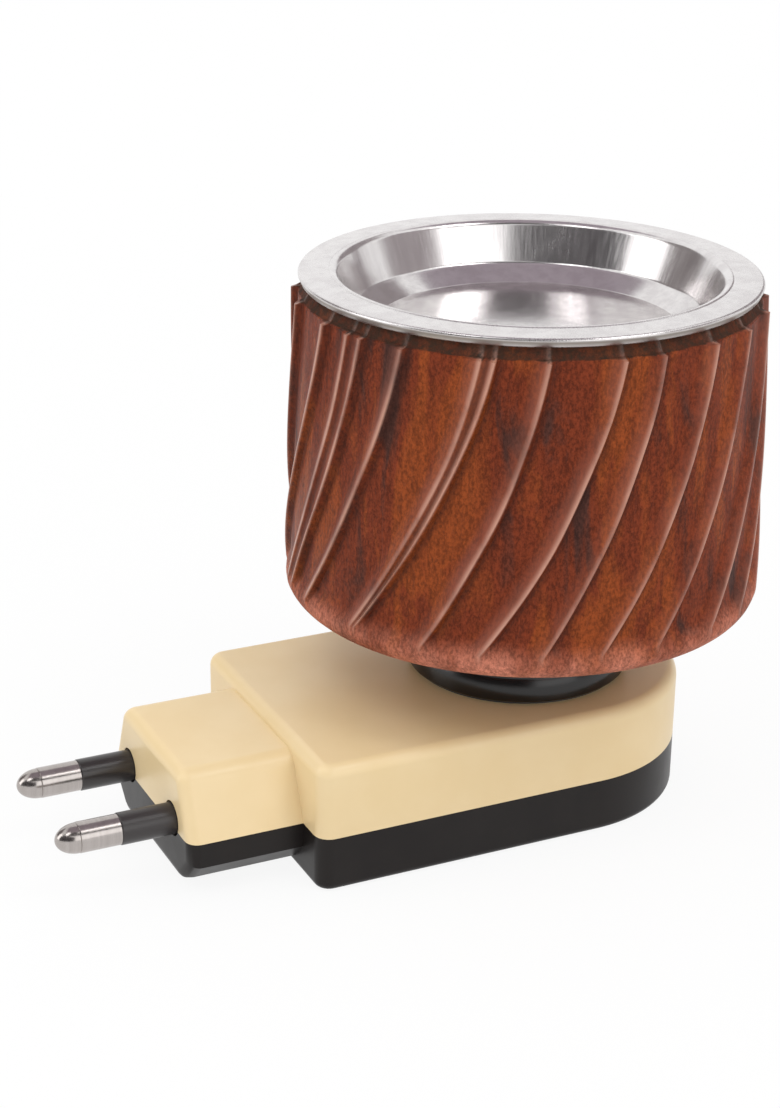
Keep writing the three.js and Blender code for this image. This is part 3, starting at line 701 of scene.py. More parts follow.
@dataclass(frozen=True)
class Finish:
    """A surface for one of the record's slots."""

    slot: Slot

    def material(self) -> bpy.types.Material:
        """The material, made the first time that it is asked for."""
        name = f"{self.slot.value}_finish"
        return bpy.data.materials.get(name) or new_material(name, self.surface)

    def surface(self, board: NodeBoard) -> Socket:
        """Lay the finish on a material's board.

        Args:
            board: The material's board.

        Returns:
            The shader's socket.
        """
        shader = board.add("ShaderNodeBsdfPrincipled")
        board.feed_all(shader, self.dress(board))
        return shader.outputs[0]

    def dress(self, board: NodeBoard) -> dict[str, Feed]:
        """What feeds the shader's sockets. Each kind of finish has its own way."""
        raise NotImplementedError


@dataclass(frozen=True)
class Moulding(Finish):
    """Moulded plastic, ceramic or other even material with a fine skin."""

    colour: Colour
    shade: Colour
    roughness: float = 0.4
    swing: float = 0.08
    gloss: float = 0.5
    skin_broad: float = 90.0
    skin_fine: float = 2600.0
    skin_depth: float = 0.02 * MM
    skin_strength: float = 0.6
    smear: float = 0.05
    tone_spread: Range = (0.3, 0.7)
    rough_spread: Range = (0.25, 0.75)

    def dress(self, board: NodeBoard) -> dict[str, Feed]:
        """What feeds the shader's sockets.

        Args:
            board: The material's board.

        Returns:
            Feeds by socket name.
        """
        place = board.place()
        sizes = {"Vector": place, "Broad": self.skin_broad, "Fine": self.skin_fine}
        skin = MOULDED_SKIN.placed(board, sizes)
        marks = HANDLING.placed(board, {"Vector": place, "Size": self.skin_broad / 2})
        tone = board.span(skin["Tone"], *self.tone_spread)
        rough = board.span(skin["Tone"], *self.rough_spread, self.roughness, self.roughness + self.swing)
        return {
            "Base Color": board.mixed(tone, self.colour, self.shade),
            "Roughness": board.gain(marks["Mark"], self.smear, rough),
            "Normal": board.bump(skin["Height"], self.skin_depth, self.skin_strength),
            "Specular IOR Level": self.gloss,
        }


@dataclass(frozen=True)
class Metal(Finish):
    """Bare or plated metal with the marks of how it was worked."""

    colour: Colour
    shade: Colour
    lay: Lay
    roughness: float = 0.25
    swing: float = 0.12
    broad: float = 60.0
    fine: float = 700.0
    depth: float = 0.01 * MM
    strength: float = 0.7
    smear: float = 0.06
    smear_size: float = 70.0
    turned_stretch: Place = (1.0, 0.02, 0.02)
    tone_spread: Range = (0.3, 0.7)
    rough_spread: Range = (0.25, 0.75)

    def marks_vector(self, board: NodeBoard) -> Socket:
        """The vector that the working marks follow.

        Args:
            board: The material's board.

        Returns:
            The vector's socket.
        """
        if self.lay is Lay.TURNED:
            return board.place(scale=self.turned_stretch)
        place = board.place()
        if self.lay is Lay.PLATED:
            return place
        _, radius, height = board.about_axis(place)
        return board.add("ShaderNodeCombineXYZ", inputs={0: radius, 1: height}).outputs[0]

    def dress(self, board: NodeBoard) -> dict[str, Feed]:
        """What feeds the shader's sockets.

        Args:
            board: The material's board.

        Returns:
            Feeds by socket name.
        """
        sizes = {"Vector": self.marks_vector(board), "Broad": self.broad, "Fine": self.fine}
        marks = WORKED_METAL.placed(board, sizes)
        smears = HANDLING.placed(board, {"Vector": board.place(), "Size": self.smear_size})
        tone = board.span(marks["Streak"], *self.tone_spread)
        rough = board.span(marks["Hair"], *self.rough_spread, self.roughness, self.roughness + self.swing)
        return {
            "Base Color": board.mixed(tone, self.colour, self.shade),
            "Roughness": board.gain(smears["Mark"], self.smear, rough),
            "Normal": board.bump(marks["Height"], self.depth, self.strength),
            "Metallic": 1.0,
        }


@dataclass(frozen=True)
class DrawnSteel(Finish):
    """Pressed bright sheet: upright draw marks on the wall, satin flats and a rougher rolled edge, darkened
    by a painted dark reflection.
    """

    colour: Colour = (0.790, 0.765, 0.760)
    shade: Colour = (0.700, 0.670, 0.670)
    # Painted dark reflection: the darker colour of the rolled edge below the rim
    edge: Colour = (0.290, 0.255, 0.225)
    wall_inner: float = 26.9 * MM
    wall_outer: float = 30.4 * MM
    edge_radius: float = 35.25 * MM
    edge_height: float = 86.55 * MM
    blur: float = 0.5 * MM
    wall_rough: Range = (0.15, 0.25)
    flat_rough: Range = (0.24, 0.30)
    floor_rough: Range = (0.12, 0.18)
    edge_rough: float = 0.12
    mark_broad: float = 330.0
    mark_fine: float = 2300.0
    mark_round: Place = (0.03, 0.03, 0.0)
    mark_drop: Place = (0.0, 0.0, 0.08)
    mark_depth: float = 0.010 * MM
    mark_strength: float = 0.7
    satin_broad: float = 420.0
    satin_fine: float = 3600.0
    satin_rise: float = 0.12
    smear: float = 0.05
    smear_size: float = 80.0
    tone_spread: Range = (0.35, 0.65)
    hair_spread: Range = (0.3, 0.7)

    def dress(self, board: NodeBoard) -> dict[str, Feed]:
        """What feeds the shader's sockets.

        Args:
            board: The material's board.

        Returns:
            Feeds by socket name.
        """
        place = board.place()
        level, radius, height = board.about_axis(place)
        wall = self.wall_mask(board, radius)
        floor = board.span(radius, self.wall_inner - self.blur, self.wall_inner, 1.0, 0.0)
        rolled = self.edge_mask(board, radius, height)
        upright = self.draw_marks(board, level, place)
        sizes = {"Vector": upright, "Broad": self.mark_broad, "Fine": self.mark_fine}
        marks = WORKED_METAL.placed(board, sizes)
        sizes = {"Vector": place, "Broad": self.satin_broad, "Fine": self.satin_fine}
        satin = WORKED_METAL.placed(board, sizes)
        smears = HANDLING.placed(board, {"Vector": place, "Size": self.smear_size})
        on_wall = board.span(marks["Hair"], *self.hair_spread, *self.wall_rough)
        on_flat = board.span(satin["Hair"], *self.hair_spread, *self.flat_rough)
        on_floor = board.span(satin["Hair"], *self.hair_spread, *self.floor_rough)
        rough = board.between(floor, board.between(wall, on_flat, on_wall), on_floor)
        dulled = board.gain(rolled, self.edge_rough, rough)
        tone = board.between(wall, satin["Streak"], marks["Streak"])
        clean = board.mixed(board.span(tone, *self.tone_spread), self.colour, self.shade)
        rise = board.gain(satin["Hair"], self.satin_rise, board.product(marks["Height"], wall))
        return {
            # Painted dark reflection: the rolled edge takes a darker colour
            "Base Color": board.mixed(rolled, clean, self.edge),
            "Roughness": board.gain(smears["Mark"], self.smear, dulled),
            "Normal": board.bump(rise, self.mark_depth, self.mark_strength),
            "Metallic": 1.0,
        }

    def draw_marks(self, board: NodeBoard, level: Socket, place: Socket) -> Socket:
        """Vector of marks that run up the wall.

        Args:
            board: The material's board.
            level: Socket of the place without its height.
            place: Socket of the place.

        Returns:
            The vector's socket.
        """
        round_wall = board.vector("MULTIPLY", board.vector("NORMALIZE", level), self.mark_round)
        drop = board.vector("MULTIPLY", place, self.mark_drop)
        return board.vector("ADD", round_wall, drop)

    def wall_mask(self, board: NodeBoard, radius: Socket) -> Socket:
        """Mask of the well's wall, soft at both sides.

        Args:
            board: The material's board.
            radius: Socket of the distance from the axis.

        Returns:
            The mask's socket.
        """
        past = board.span(radius, self.wall_inner - self.blur, self.wall_inner)
        short = board.span(radius, self.wall_outer, self.wall_outer + self.blur, 1.0, 0.0)
        return board.product(past, short)

    def edge_mask(self, board: NodeBoard, radius: Socket, height: Socket) -> Socket:
        """Mask of the rim's rolled edge, below its upper face.

        Args:
            board: The material's board.
            radius: Socket of the distance from the axis.
            height: Socket of the height.

        Returns:
            The mask's socket.
        """
        outer = board.span(radius, self.edge_radius, self.edge_radius + self.blur)
        under = board.span(height, self.edge_height - self.blur, self.edge_height, 1.0, 0.0)
        return board.product(outer, under)


@dataclass(frozen=True)
class WoodNoise:
    """A noise pattern of the wood, drawn out along its upright fibre."""

    scale: float
    detail: float
    roughness: float
    upright: float = 1.0
    shift: Place = (0, 0, 0)
    bend: float = 0.0

    def read(self, board: NodeBoard) -> Socket:
        """The noise on a material's board."""
        vector = board.place(scale=(1, 1, self.upright), shift=self.shift)
        return board.cloud(vector, self.scale, self.detail, self.roughness, self.bend)


@dataclass(frozen=True)
class WoodSpot:
    """A soft light or dark spot of the wood's figure."""

    centre: Place
    strength: float


@dataclass(frozen=True)
class Rosewood(Finish):
    """Oiled dark red wood: upright figure, pores and speckle, with painted light and shade on the carving:
    highlights on the crests and rising flanks, shade after each drop and light at the foot.
    """

    heart: Colour = (0.060, 0.021, 0.015)
    body: Colour = (0.150, 0.027, 0.009)
    sap: Colour = (0.215, 0.045, 0.010)
    # Painted highlight: the light colour of the carving's crests
    crest_highlight: Colour = (0.500, 0.245, 0.170)
    # Painted light: the lighter colour of each flute's rising flank
    lit_band: Colour = (0.270, 0.092, 0.062)
    # Painted shade: the dark colour just after each ridge's drop, where the steep side of the flute lies in
    # shade
    hollow_shade: Colour = (0.030, 0.010, 0.007)
    saw: Colour = (0.040, 0.022, 0.014)
    # Painted light: the brighter colour at the foot, standing in for light from below
    foot: Colour = (0.520, 0.190, 0.124)
    figure_stops: tuple[float, ...] = (0.20, 0.44, 0.60, 0.84)
    ring_pitch: float = 4.2 * MM
    ring_stretch: float = 0.2
    ring_sway: float = 0.03
    sway_scale: float = 34.0
    trunk: Point = (0.055, 0.075)
    blotches: WoodNoise = WoodNoise(75.0, 5, 0.62, upright=0.35, shift=(0.3, 0.1, 0.2), bend=0.8)
    blotch_spread: Range = (0.26, 0.66)
    blotch_weight: float = 0.75
    spots: tuple[WoodSpot, ...] = (
        WoodSpot((-30.0 * MM, -23.0 * MM, 43.0 * MM), 0.16),
        WoodSpot((-6.0 * MM, -37.5 * MM, 37.0 * MM), 0.34),
        WoodSpot((-20.2 * MM, -32.3 * MM, 56.0 * MM), -0.30),
    )
    spot_reach: float = 17.0 * MM
    spot_stretch: float = 0.5
    pore_lines: WoodNoise = WoodNoise(1300.0, 3, 0.6, upright=0.07)
    pore_line_spread: Range = (0.56, 0.74)
    pore_dots: WoodNoise = WoodNoise(1500.0, 2, 0.5, upright=0.3, shift=(0.7, 0.2, 0.4))
    pore_dot_spread: Range = (0.62, 0.76)
    pore_share: float = 0.2
    pore_rise: float = -0.7
    speckle: WoodNoise = WoodNoise(2300.0, 3, 0.75, upright=0.6)
    speckle_rise: float = 0.5
    fibre: WoodNoise = WoodNoise(1100.0, 4, 0.65, upright=0.2, shift=(0.2, 0.5, 0.1))
    fibre_weight: float = 0.3
    grain_spread: Range = (0.36, 0.64)
    grain_light: Range = (0.60, 1.38)
    # Patches that vary the painted light and highlights of the carving
    painted_light_patches: WoodNoise = WoodNoise(110.0, 4, 0.6, upright=0.5)
    painted_light_patch_spread: Range = (0.32, 0.66)
    painted_light_patch_share: Range = (0.2, 1.0)
    lit_band_share: float = 0.75
    hollow_shade_share: float = 0.55
    lit_foot_share: float = 0.85
    chips: WoodNoise = WoodNoise(900.0, 4, 0.7)
    chip_spread: Range = (0.3, 0.7)
    chip_share: Range = (0.55, 1.0)
    chip_rise: float = 2.0
    figure_rough_spread: Range = (0.2, 0.8)
    figure_rough: Range = (0.5, 0.42)
    saw_rough: float = 0.3
    crest_rough: float = -0.18
    foot_rough: float = 0.2
    crest_gloss: Range = (0.10, 0.6)
    tooling: WoodNoise = WoodNoise(520.0, 4, 0.6)
    tooling_depth: float = 0.12 * MM
    tooling_strength: float = 0.6

    def dress(self, board: NodeBoard) -> dict[str, Feed]:
        """What feeds the shader's sockets.

        Args:
            board: The material's board.

        Returns:
            Feeds by socket name.
        """
        figure = self.figure(board)
        pores = self.pores(board)
        speckle = self.speckle.read(board)
        chips = board.span(self.chips.read(board), *self.chip_spread, *self.chip_share)
        marks = {
            mark: board.add("ShaderNodeAttribute", {"attribute_name": mark.value}).outputs["Fac"]
            for mark in WoodMark
        }
        lift = board.weighed(self.fibre.read(board), self.fibre_weight, speckle)
        light = board.span(lift, *self.grain_spread, *self.grain_light)
        colours = (self.heart, self.body, self.body, self.sap)
        lively = board.brightened(board.shades(figure, self.figure_stops, colours), light)
        grain = board.mixed(board.product(pores, self.pore_share), lively, self.heart)
        sawn = board.product(marks[WoodMark.SAW_CUT], chips)
        tooled = board.gain(speckle, self.speckle_rise, self.tooling.read(board))
        rise = board.gain(pores, self.pore_rise, tooled)
        coarse = board.gain(sawn, self.chip_rise, rise)
        return {
            "Base Color": board.mixed(sawn, self.used(board, marks, grain, light), self.saw),
            "Roughness": self.dullness(board, marks, figure),
            "Normal": board.bump(coarse, self.tooling_depth, self.tooling_strength),
            "Specular IOR Level": board.span(marks[WoodMark.RIDGE], 0.0, 1.0, *self.crest_gloss),
        }

    def figure(self, board: NodeBoard) -> Socket:
        """Broad light and dark figure: the trunk's rings, bent and blurred, and soft spots.

        Args:
            board: The material's board.

        Returns:
            The socket of a value from dark, 0, to light, 1.
        """
        upright = board.place((1, 1, self.ring_stretch), (-self.trunk[0], -self.trunk[1], 0))
        sway = board.cloud(upright, self.sway_scale, detail=4, roughness=0.55)
        _, radius, _ = board.about_axis(upright)
        bent = board.gain(sway, self.ring_sway, radius)
        rings = board.span(board.sum("SINE", board.product(bent, math.tau / self.ring_pitch)), -1.0, 1.0)
        blotch = board.span(self.blotches.read(board), *self.blotch_spread)
        grown = board.weighed(blotch, self.blotch_weight, rings)
        for spot in self.spots:
            grown = board.gain(self.spot_mask(board, spot.centre), spot.strength, grown)
        return grown

    def spot_mask(self, board: NodeBoard, centre: Place) -> Socket:
        """Soft upright spot of the figure.

        Args:
            board: The material's board.
            centre: Where it lies on the cup.

        Returns:
            The socket of a mask, 1 at the centre.
        """
        moved = (-centre[0], -centre[1], -centre[2] * self.spot_stretch)
        away = board.length(board.place((1, 1, self.spot_stretch), moved))
        return board.span(away, 0.0, self.spot_reach, 1.0, 0.0)

    def pores(self, board: NodeBoard) -> Socket:
        """Fine upright pore lines and dots.

        Args:
            board: The material's board.

        Returns:
            The socket of a mask, 1 in a pore.
        """
        lines = board.span(self.pore_lines.read(board), *self.pore_line_spread)
        dots = board.span(self.pore_dots.read(board), *self.pore_dot_spread)
        return board.sum("MAXIMUM", lines, dots)

    def used(self, board: NodeBoard, marks: dict[WoodMark, Socket], grain: Socket, light: Socket) -> Socket:
        """The grain's colour with painted light on the rising flanks and the foot, a painted highlight on
        the crests and painted shade after each drop.

        Args:
            board: The material's board.
            marks: Marks of the carving.
            grain: The bare wood's colour.
            light: How light the grain is.

        Returns:
            The colour's socket.
        """
        patch = board.span(self.painted_light_patches.read(board), *self.painted_light_patch_spread, *self.painted_light_patch_share)
        # Painted light: the rising flanks take a lighter colour, in patches
        lit_band_mask = board.product(marks[WoodMark.RISE], board.product(patch, self.lit_band_share))
        risen = board.mixed(lit_band_mask, grain, self.lit_band)
        # Painted shade: a dark line after each ridge's drop
        hollow_shaded = board.mixed(board.product(marks[WoodMark.HOLLOW], self.hollow_shade_share), risen, self.hollow_shade)
        # Painted light: the foot takes a brighter colour, in patches
        lit_foot_mask = board.product(marks[WoodMark.FOOT], board.product(patch, self.lit_foot_share))
        with_lit_foot = board.mixed(lit_foot_mask, hollow_shaded, board.brightened(self.foot, light))
        # Painted highlight: the crests take a light colour, in patches
        return board.mixed(board.product(marks[WoodMark.RIDGE], patch), with_lit_foot, self.crest_highlight)

    def dullness(self, board: NodeBoard, marks: dict[WoodMark, Socket], figure: Socket) -> Socket:
        """Roughness of the wood.

        Args:
            board: The material's board.
            marks: Marks of the carving.
            figure: The wood's figure.

        Returns:
            The roughness's socket.
        """
        oiled = board.span(figure, *self.figure_rough_spread, *self.figure_rough)
        sawn = board.gain(marks[WoodMark.SAW_CUT], self.saw_rough, oiled)
        polished = board.gain(marks[WoodMark.RIDGE], self.crest_rough, sawn)
        return board.gain(marks[WoodMark.FOOT], self.foot_rough, polished)


CREAM = Moulding(
    Slot.CREAM_SHELL, (0.775, 0.605, 0.350), (0.755, 0.580, 0.322), roughness=0.3, swing=0.06, gloss=0.5
)
DARK = Moulding(
    Slot.DARK_SHELL, (0.010, 0.0075, 0.0072), (0.014, 0.011, 0.010), roughness=0.3, swing=0.1, gloss=0.22
)
SLEEVE = Moulding(
    Slot.PIN_SLEEVE, (0.022, 0.018, 0.018), (0.030, 0.025, 0.025), roughness=0.28, swing=0.08, gloss=0.6
)
INSULATOR = Moulding(Slot.INSULATOR, (0.040, 0.036, 0.034), (0.050, 0.045, 0.042), roughness=0.55)
COLLAR_BLACK = Moulding(
    Slot.BLACK_COLLAR,
    (0.006, 0.005, 0.005),
    (0.008, 0.007, 0.006),
    roughness=0.2,
    swing=0.05,
    skin_depth=0.004 * MM,
)
LEAD_RED = Moulding(Slot.LEAD_RED, (0.270, 0.023, 0.016), (0.230, 0.018, 0.013), roughness=0.5)
LEAD_BLUE = Moulding(Slot.LEAD_BLUE, (0.026, 0.073, 0.238), (0.020, 0.060, 0.200), roughness=0.5)
CERAMIC = Moulding(Slot.HEATER_CERAMIC, (0.810, 0.770, 0.700), (0.740, 0.690, 0.610), roughness=0.7)
MICA = Moulding(Slot.MICA, (0.580, 0.470, 0.250), (0.480, 0.360, 0.170), roughness=0.35, skin_broad=420.0)
FIBRE = Moulding(
    Slot.GLASS_FIBRE, (0.690, 0.640, 0.530), (0.560, 0.500, 0.400), roughness=0.85, skin_broad=1400.0
)
NICKEL = Metal(
    Slot.NICKEL_PIN,
    (0.500, 0.460, 0.440),
    (0.420, 0.385, 0.365),
    Lay.TURNED,
    roughness=0.17,
    swing=0.08,
    broad=700.0,
    fine=6000.0,
    depth=0.004 * MM,
)
BRASS = Metal(Slot.BRASS, (0.480, 0.310, 0.085), (0.420, 0.260, 0.070), Lay.PLATED, roughness=0.3)
ZINC = Metal(Slot.ZINC_STEEL, (0.420, 0.420, 0.410), (0.340, 0.335, 0.320), Lay.PLATED, roughness=0.32)
ALUMINIUM = Metal(
    Slot.HEATER_ALUMINIUM,
    (0.620, 0.625, 0.640),
    (0.520, 0.525, 0.540),
    Lay.RINGS,
    roughness=0.3,
    broad=500.0,
    fine=2400.0,
)
DISH_STEEL = DrawnSteel(Slot.SATIN_DISH)
ROSEWOOD = Rosewood(Slot.ROSEWOOD)


# Bench where finished pieces join the frame


@dataclass
class Bench:
    """Sets finished pieces down in the frame and dresses the CAD nodes that stay."""

    nodes: dict[str, bpy.types.Object]
    replaced: set[str] = field(default_factory=set)

    def set_down(self, name: str, shape: BMesh, finish: Finish, body: Body, replaces: Sequence[str]) -> None:
        """Make a piece of a shape, dress it and fix it to its body.

        Args:
            name: Name of the piece.
            shape: Its closed shape, which is used up.
            finish: Its surface.
            body: The body that it rides on.
            replaces: CAD nodes that it stands for.
        """
        piece = as_object(name, shape)
        piece.data.shade_smooth()
        piece.data.set_sharp_from_angle(angle=CREASE_ANGLE)
        even = piece.modifiers.new("even_normals", "WEIGHTED_NORMAL")
        even.keep_sharp = True
        piece.data.materials.append(finish.material())
        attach(piece, body.value)
        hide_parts(*replaces)
        self.replaced.update(replaces)
        log.info("%s: %d faces on %s", name, len(piece.data.polygons), body.value)

    def dress_node(self, name: str, finish: Finish) -> None:
        """Give a CAD node that stays its finish.

        Args:
            name: Name of the node.
            finish: Its surface.
        """
        for holder in self.nodes[name].material_slots:
            holder.link = "OBJECT"
            holder.material = finish.material()
        log.info("%s: CAD node dressed in %s", name, finish.slot.value)


# Sub-assemblies


@dataclass
class Housing:
    """The two moulded shells with the plug's neck, split along a level seam."""

    bench: Bench
    step_reach: float = 45.5 * MM
    corner_round: float = 2.5 * MM
    top_round: float = 1.9 * MM
    foot_round: float = 1.2 * MM
    wall: float = 2.0 * MM
    roof: float = 2.5 * MM
    floor: float = 2.0 * MM
    neck_width: float = 34.0 * MM
    neck_top_width: float = 25.6 * MM
    neck_foot_width: float = 25.0 * MM
    neck_top: float = 19.3 * MM
    neck_waist: float = 5.0 * MM
    neck_foot: float = 0.6 * MM
    neck_round: float = 2.0 * MM
    pin_spacing: float = 19.0 * MM
    pin_height: float = 10.3 * MM
    pin_hole: float = 2.8 * MM
    spindle_hole: float = 7.3 * MM
    boss: float = 3.2 * MM
    post: float = 4.2 * MM
    screws: int = 4
    screw_hole: float = 1.6 * MM
    head_hole: float = 2.9 * MM
    head_seat: float = 2.5 * MM
    screw_bite: float = 5.0 * MM
    end_steps: int = 56
    round_steps: int = 6
    pin_hole_steps: int = 48
    spindle_hole_steps: int = 64

    def __post_init__(self) -> None:
        """Read the housing's reach from the frame."""
        low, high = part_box("upper_shell")
        self.face = low.x
        self.half_width = high.y
        self.seam = low.z
        self.top = high.z
        self.end_centre = high.x - self.half_width
        self.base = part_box("lower_shell")[0].z

    def plan(self, inset: float, height: float) -> BMesh:
        """The housing's outline as a flat face.

        Args:
            inset: How far the outline is drawn in.
            height: Height of the face.

        Returns:
            The flat shape.
        """
        shape = bmesh.new()
        first = shape.verts.new((self.end_centre, -self.half_width, height))
        spun = bmesh.ops.spin(
            shape,
            geom=[first],
            cent=(self.end_centre, 0, height),
            axis=(0, 0, 1),
            angle=math.pi,
            steps=self.end_steps,
        )
        last = next(item for item in spun["geom_last"] if isinstance(item, BMVert))
        corners = [shape.verts.new((-self.step_reach, side * self.half_width, height)) for side in SIDES]
        loop = [last, *corners, first]
        for pair in zip(loop, loop[1:]):
            shape.edges.new(pair)
        bmesh.ops.contextual_create(shape, geom=shape.edges[:])
        bmesh.ops.bevel(
            shape,
            geom=corners,
            offset=self.corner_round,
            segments=self.round_steps,
            profile=ROUND_PROFILE,
            affect="VERTICES",
            material=-1,
        )
        return self.drawn_in(shape, inset)

    def drawn_in(self, shape: BMesh, inset: float) -> BMesh:
        """Draw a flat face in by an even margin.

        Args:
            shape: A shape of one face.
            inset: The margin, or 0 to leave it.

        Returns:
            The same shape, with the smaller face alone.
        """
        if inset > 0:
            shape.normal_update()
            rim = bmesh.ops.inset_region(
                shape, faces=shape.faces[:], thickness=inset, use_even_offset=True, use_boundary=True
            )
            bmesh.ops.delete(shape, geom=rim["faces"], context="FACES")
        return shape

    def block(self) -> BMesh:
        """The housing's main block with its rounded edges.

        Returns:
            The solid.
        """
        shape = drawn_out(self.plan(0.0, self.base), (0, 0, self.top - self.base))
        for level, radius in ((self.top, self.top_round), (self.base, self.foot_round)):
            rim = edges_where(shape, lambda at: near(at.z, level))
            rounded(shape, rim, radius, self.round_steps)
        return shape

    def neck_section(self, x: float, inset: float) -> BMesh:
        """The neck's eight-sided section as a flat face.

        Args:
            x: Where the face stands.
            inset: How far it is drawn in.

        Returns:
            The flat shape.
        """
        half = [
            (self.neck_foot_width / 2, self.neck_foot),
            (self.neck_width / 2, self.neck_waist),
            (self.neck_width / 2, self.seam),
            (self.neck_top_width / 2, self.neck_top),
        ]
        section = half + [(-y, z) for y, z in reversed(half)]
        return self.drawn_in(flat_face([(x, y, z) for y, z in section]), inset)

    def neck(self) -> BMesh:
        """The neck's block, rounded at its face and along its edges.

        Returns:
            The solid, reaching into the housing.
        """
        reach = -self.step_reach + self.wall / 2 - self.face
        shape = drawn_out(self.neck_section(self.face, 0.0), (reach, 0, 0))

        def lengthwise(edge: BMEdge) -> bool:
            """Whether an edge runs along the neck at its top or foot.

            Args:
                edge: An edge of the neck's block.

            Returns:
                True for such an edge.
            """
            start, end = (corner.co for corner in edge.verts)
            outer = near(start.z, self.neck_top) or near(start.z, self.neck_foot)
            return outer and near(start.z, end.z) and abs(start.x - end.x) > reach / 2

        rim = edges_where(shape, lambda at: near(at.x, self.face))
        long_edges = [edge for edge in shape.edges if lengthwise(edge)]
        rounded(shape, rim + long_edges, self.neck_round, self.round_steps)
        return shape

    def room(self) -> Tools:
        """What the shells leave open inside.

        Returns:
            Cutters for the main room and the neck's pocket.
        """
        height = self.top - self.roof - self.floor
        main = drawn_out(self.plan(self.wall, self.floor), (0, 0, height))
        start = self.face + self.wall
        reach = self.wall - self.step_reach - start + OVERCUT
        pocket = drawn_out(self.neck_section(start, self.wall), (reach, 0, 0))
        return [(Carving.CUT, main), (Carving.CUT, pocket)]

    def holes(self) -> Tools:
        """The holes of the pins and the spindle.

        Returns:
            Their cutters.
        """
        start = self.face - OVERCUT
        end = self.face + self.wall + OVERCUT
        cutters = []
        for side in SIDES:
            hole = rod(self.pin_hole, start, end, steps=self.pin_hole_steps)
            cutters.append((Carving.CUT, laid_along_x(hole, side * self.pin_spacing / 2, self.pin_height)))
        under_roof = self.top - self.roof
        spindle = rod(
            self.spindle_hole, under_roof - OVERCUT, self.top + OVERCUT, steps=self.spindle_hole_steps
        )
        return [*cutters, (Carving.CUT, spindle)]

    def half(self, low: float, high: float) -> BMesh:
        """Everything between two heights.

        Args:
            low: The lower height.
            high: The upper height.

        Returns:
            A block wider than the housing.
        """
        reach = -self.face + OVERCUT
        width = self.half_width + OVERCUT
        corners = [(-reach, -width, low), (reach, -width, low), (reach, width, low), (-reach, width, low)]
        return drawn_out(flat_face(corners), (0, 0, high - low))

    def build(self) -> None:
        """Make both shells."""
        places = [axis_of(f"housing_screw_{number + 1}") for number in range(self.screws)]
        boss_top = self.top - self.roof / 2
        bite = self.seam + self.screw_bite + OVERCUT
        past_seam = self.seam + OVERCUT
        upper = [(Carving.JOIN, self.neck()), *self.room()]
        lower = [(Carving.JOIN, self.neck()), *self.room()]
        for place in places:
            upper.append((Carving.JOIN, rod(self.boss, self.seam - OVERCUT / 2, boss_top, place)))
            lower.append((Carving.JOIN, rod(self.post, self.floor / 2, self.seam + OVERCUT / 2, place)))
        upper.append((Carving.KEEP, self.half(self.seam, self.top + OVERCUT)))
        lower.append((Carving.KEEP, self.half(self.base - OVERCUT, self.seam)))
        for place in places:
            upper.append((Carving.CUT, rod(self.screw_hole, self.seam - OVERCUT, bite, place)))
            lower.append((Carving.CUT, rod(self.head_hole, self.base - OVERCUT, self.head_seat, place)))
            lower.append((Carving.CUT, rod(self.screw_hole, self.base + OVERCUT, past_seam, place)))
        upper += self.holes()
        lower += self.holes()
        top_shell = carved(self.block(), upper)
        self.bench.set_down("upper_shell_moulding", top_shell, CREAM, Body.PLUG, ["upper_shell"])
        bottom_shell = carved(self.block(), lower)
        self.bench.set_down("lower_shell_moulding", bottom_shell, DARK, Body.PLUG, ["lower_shell"])


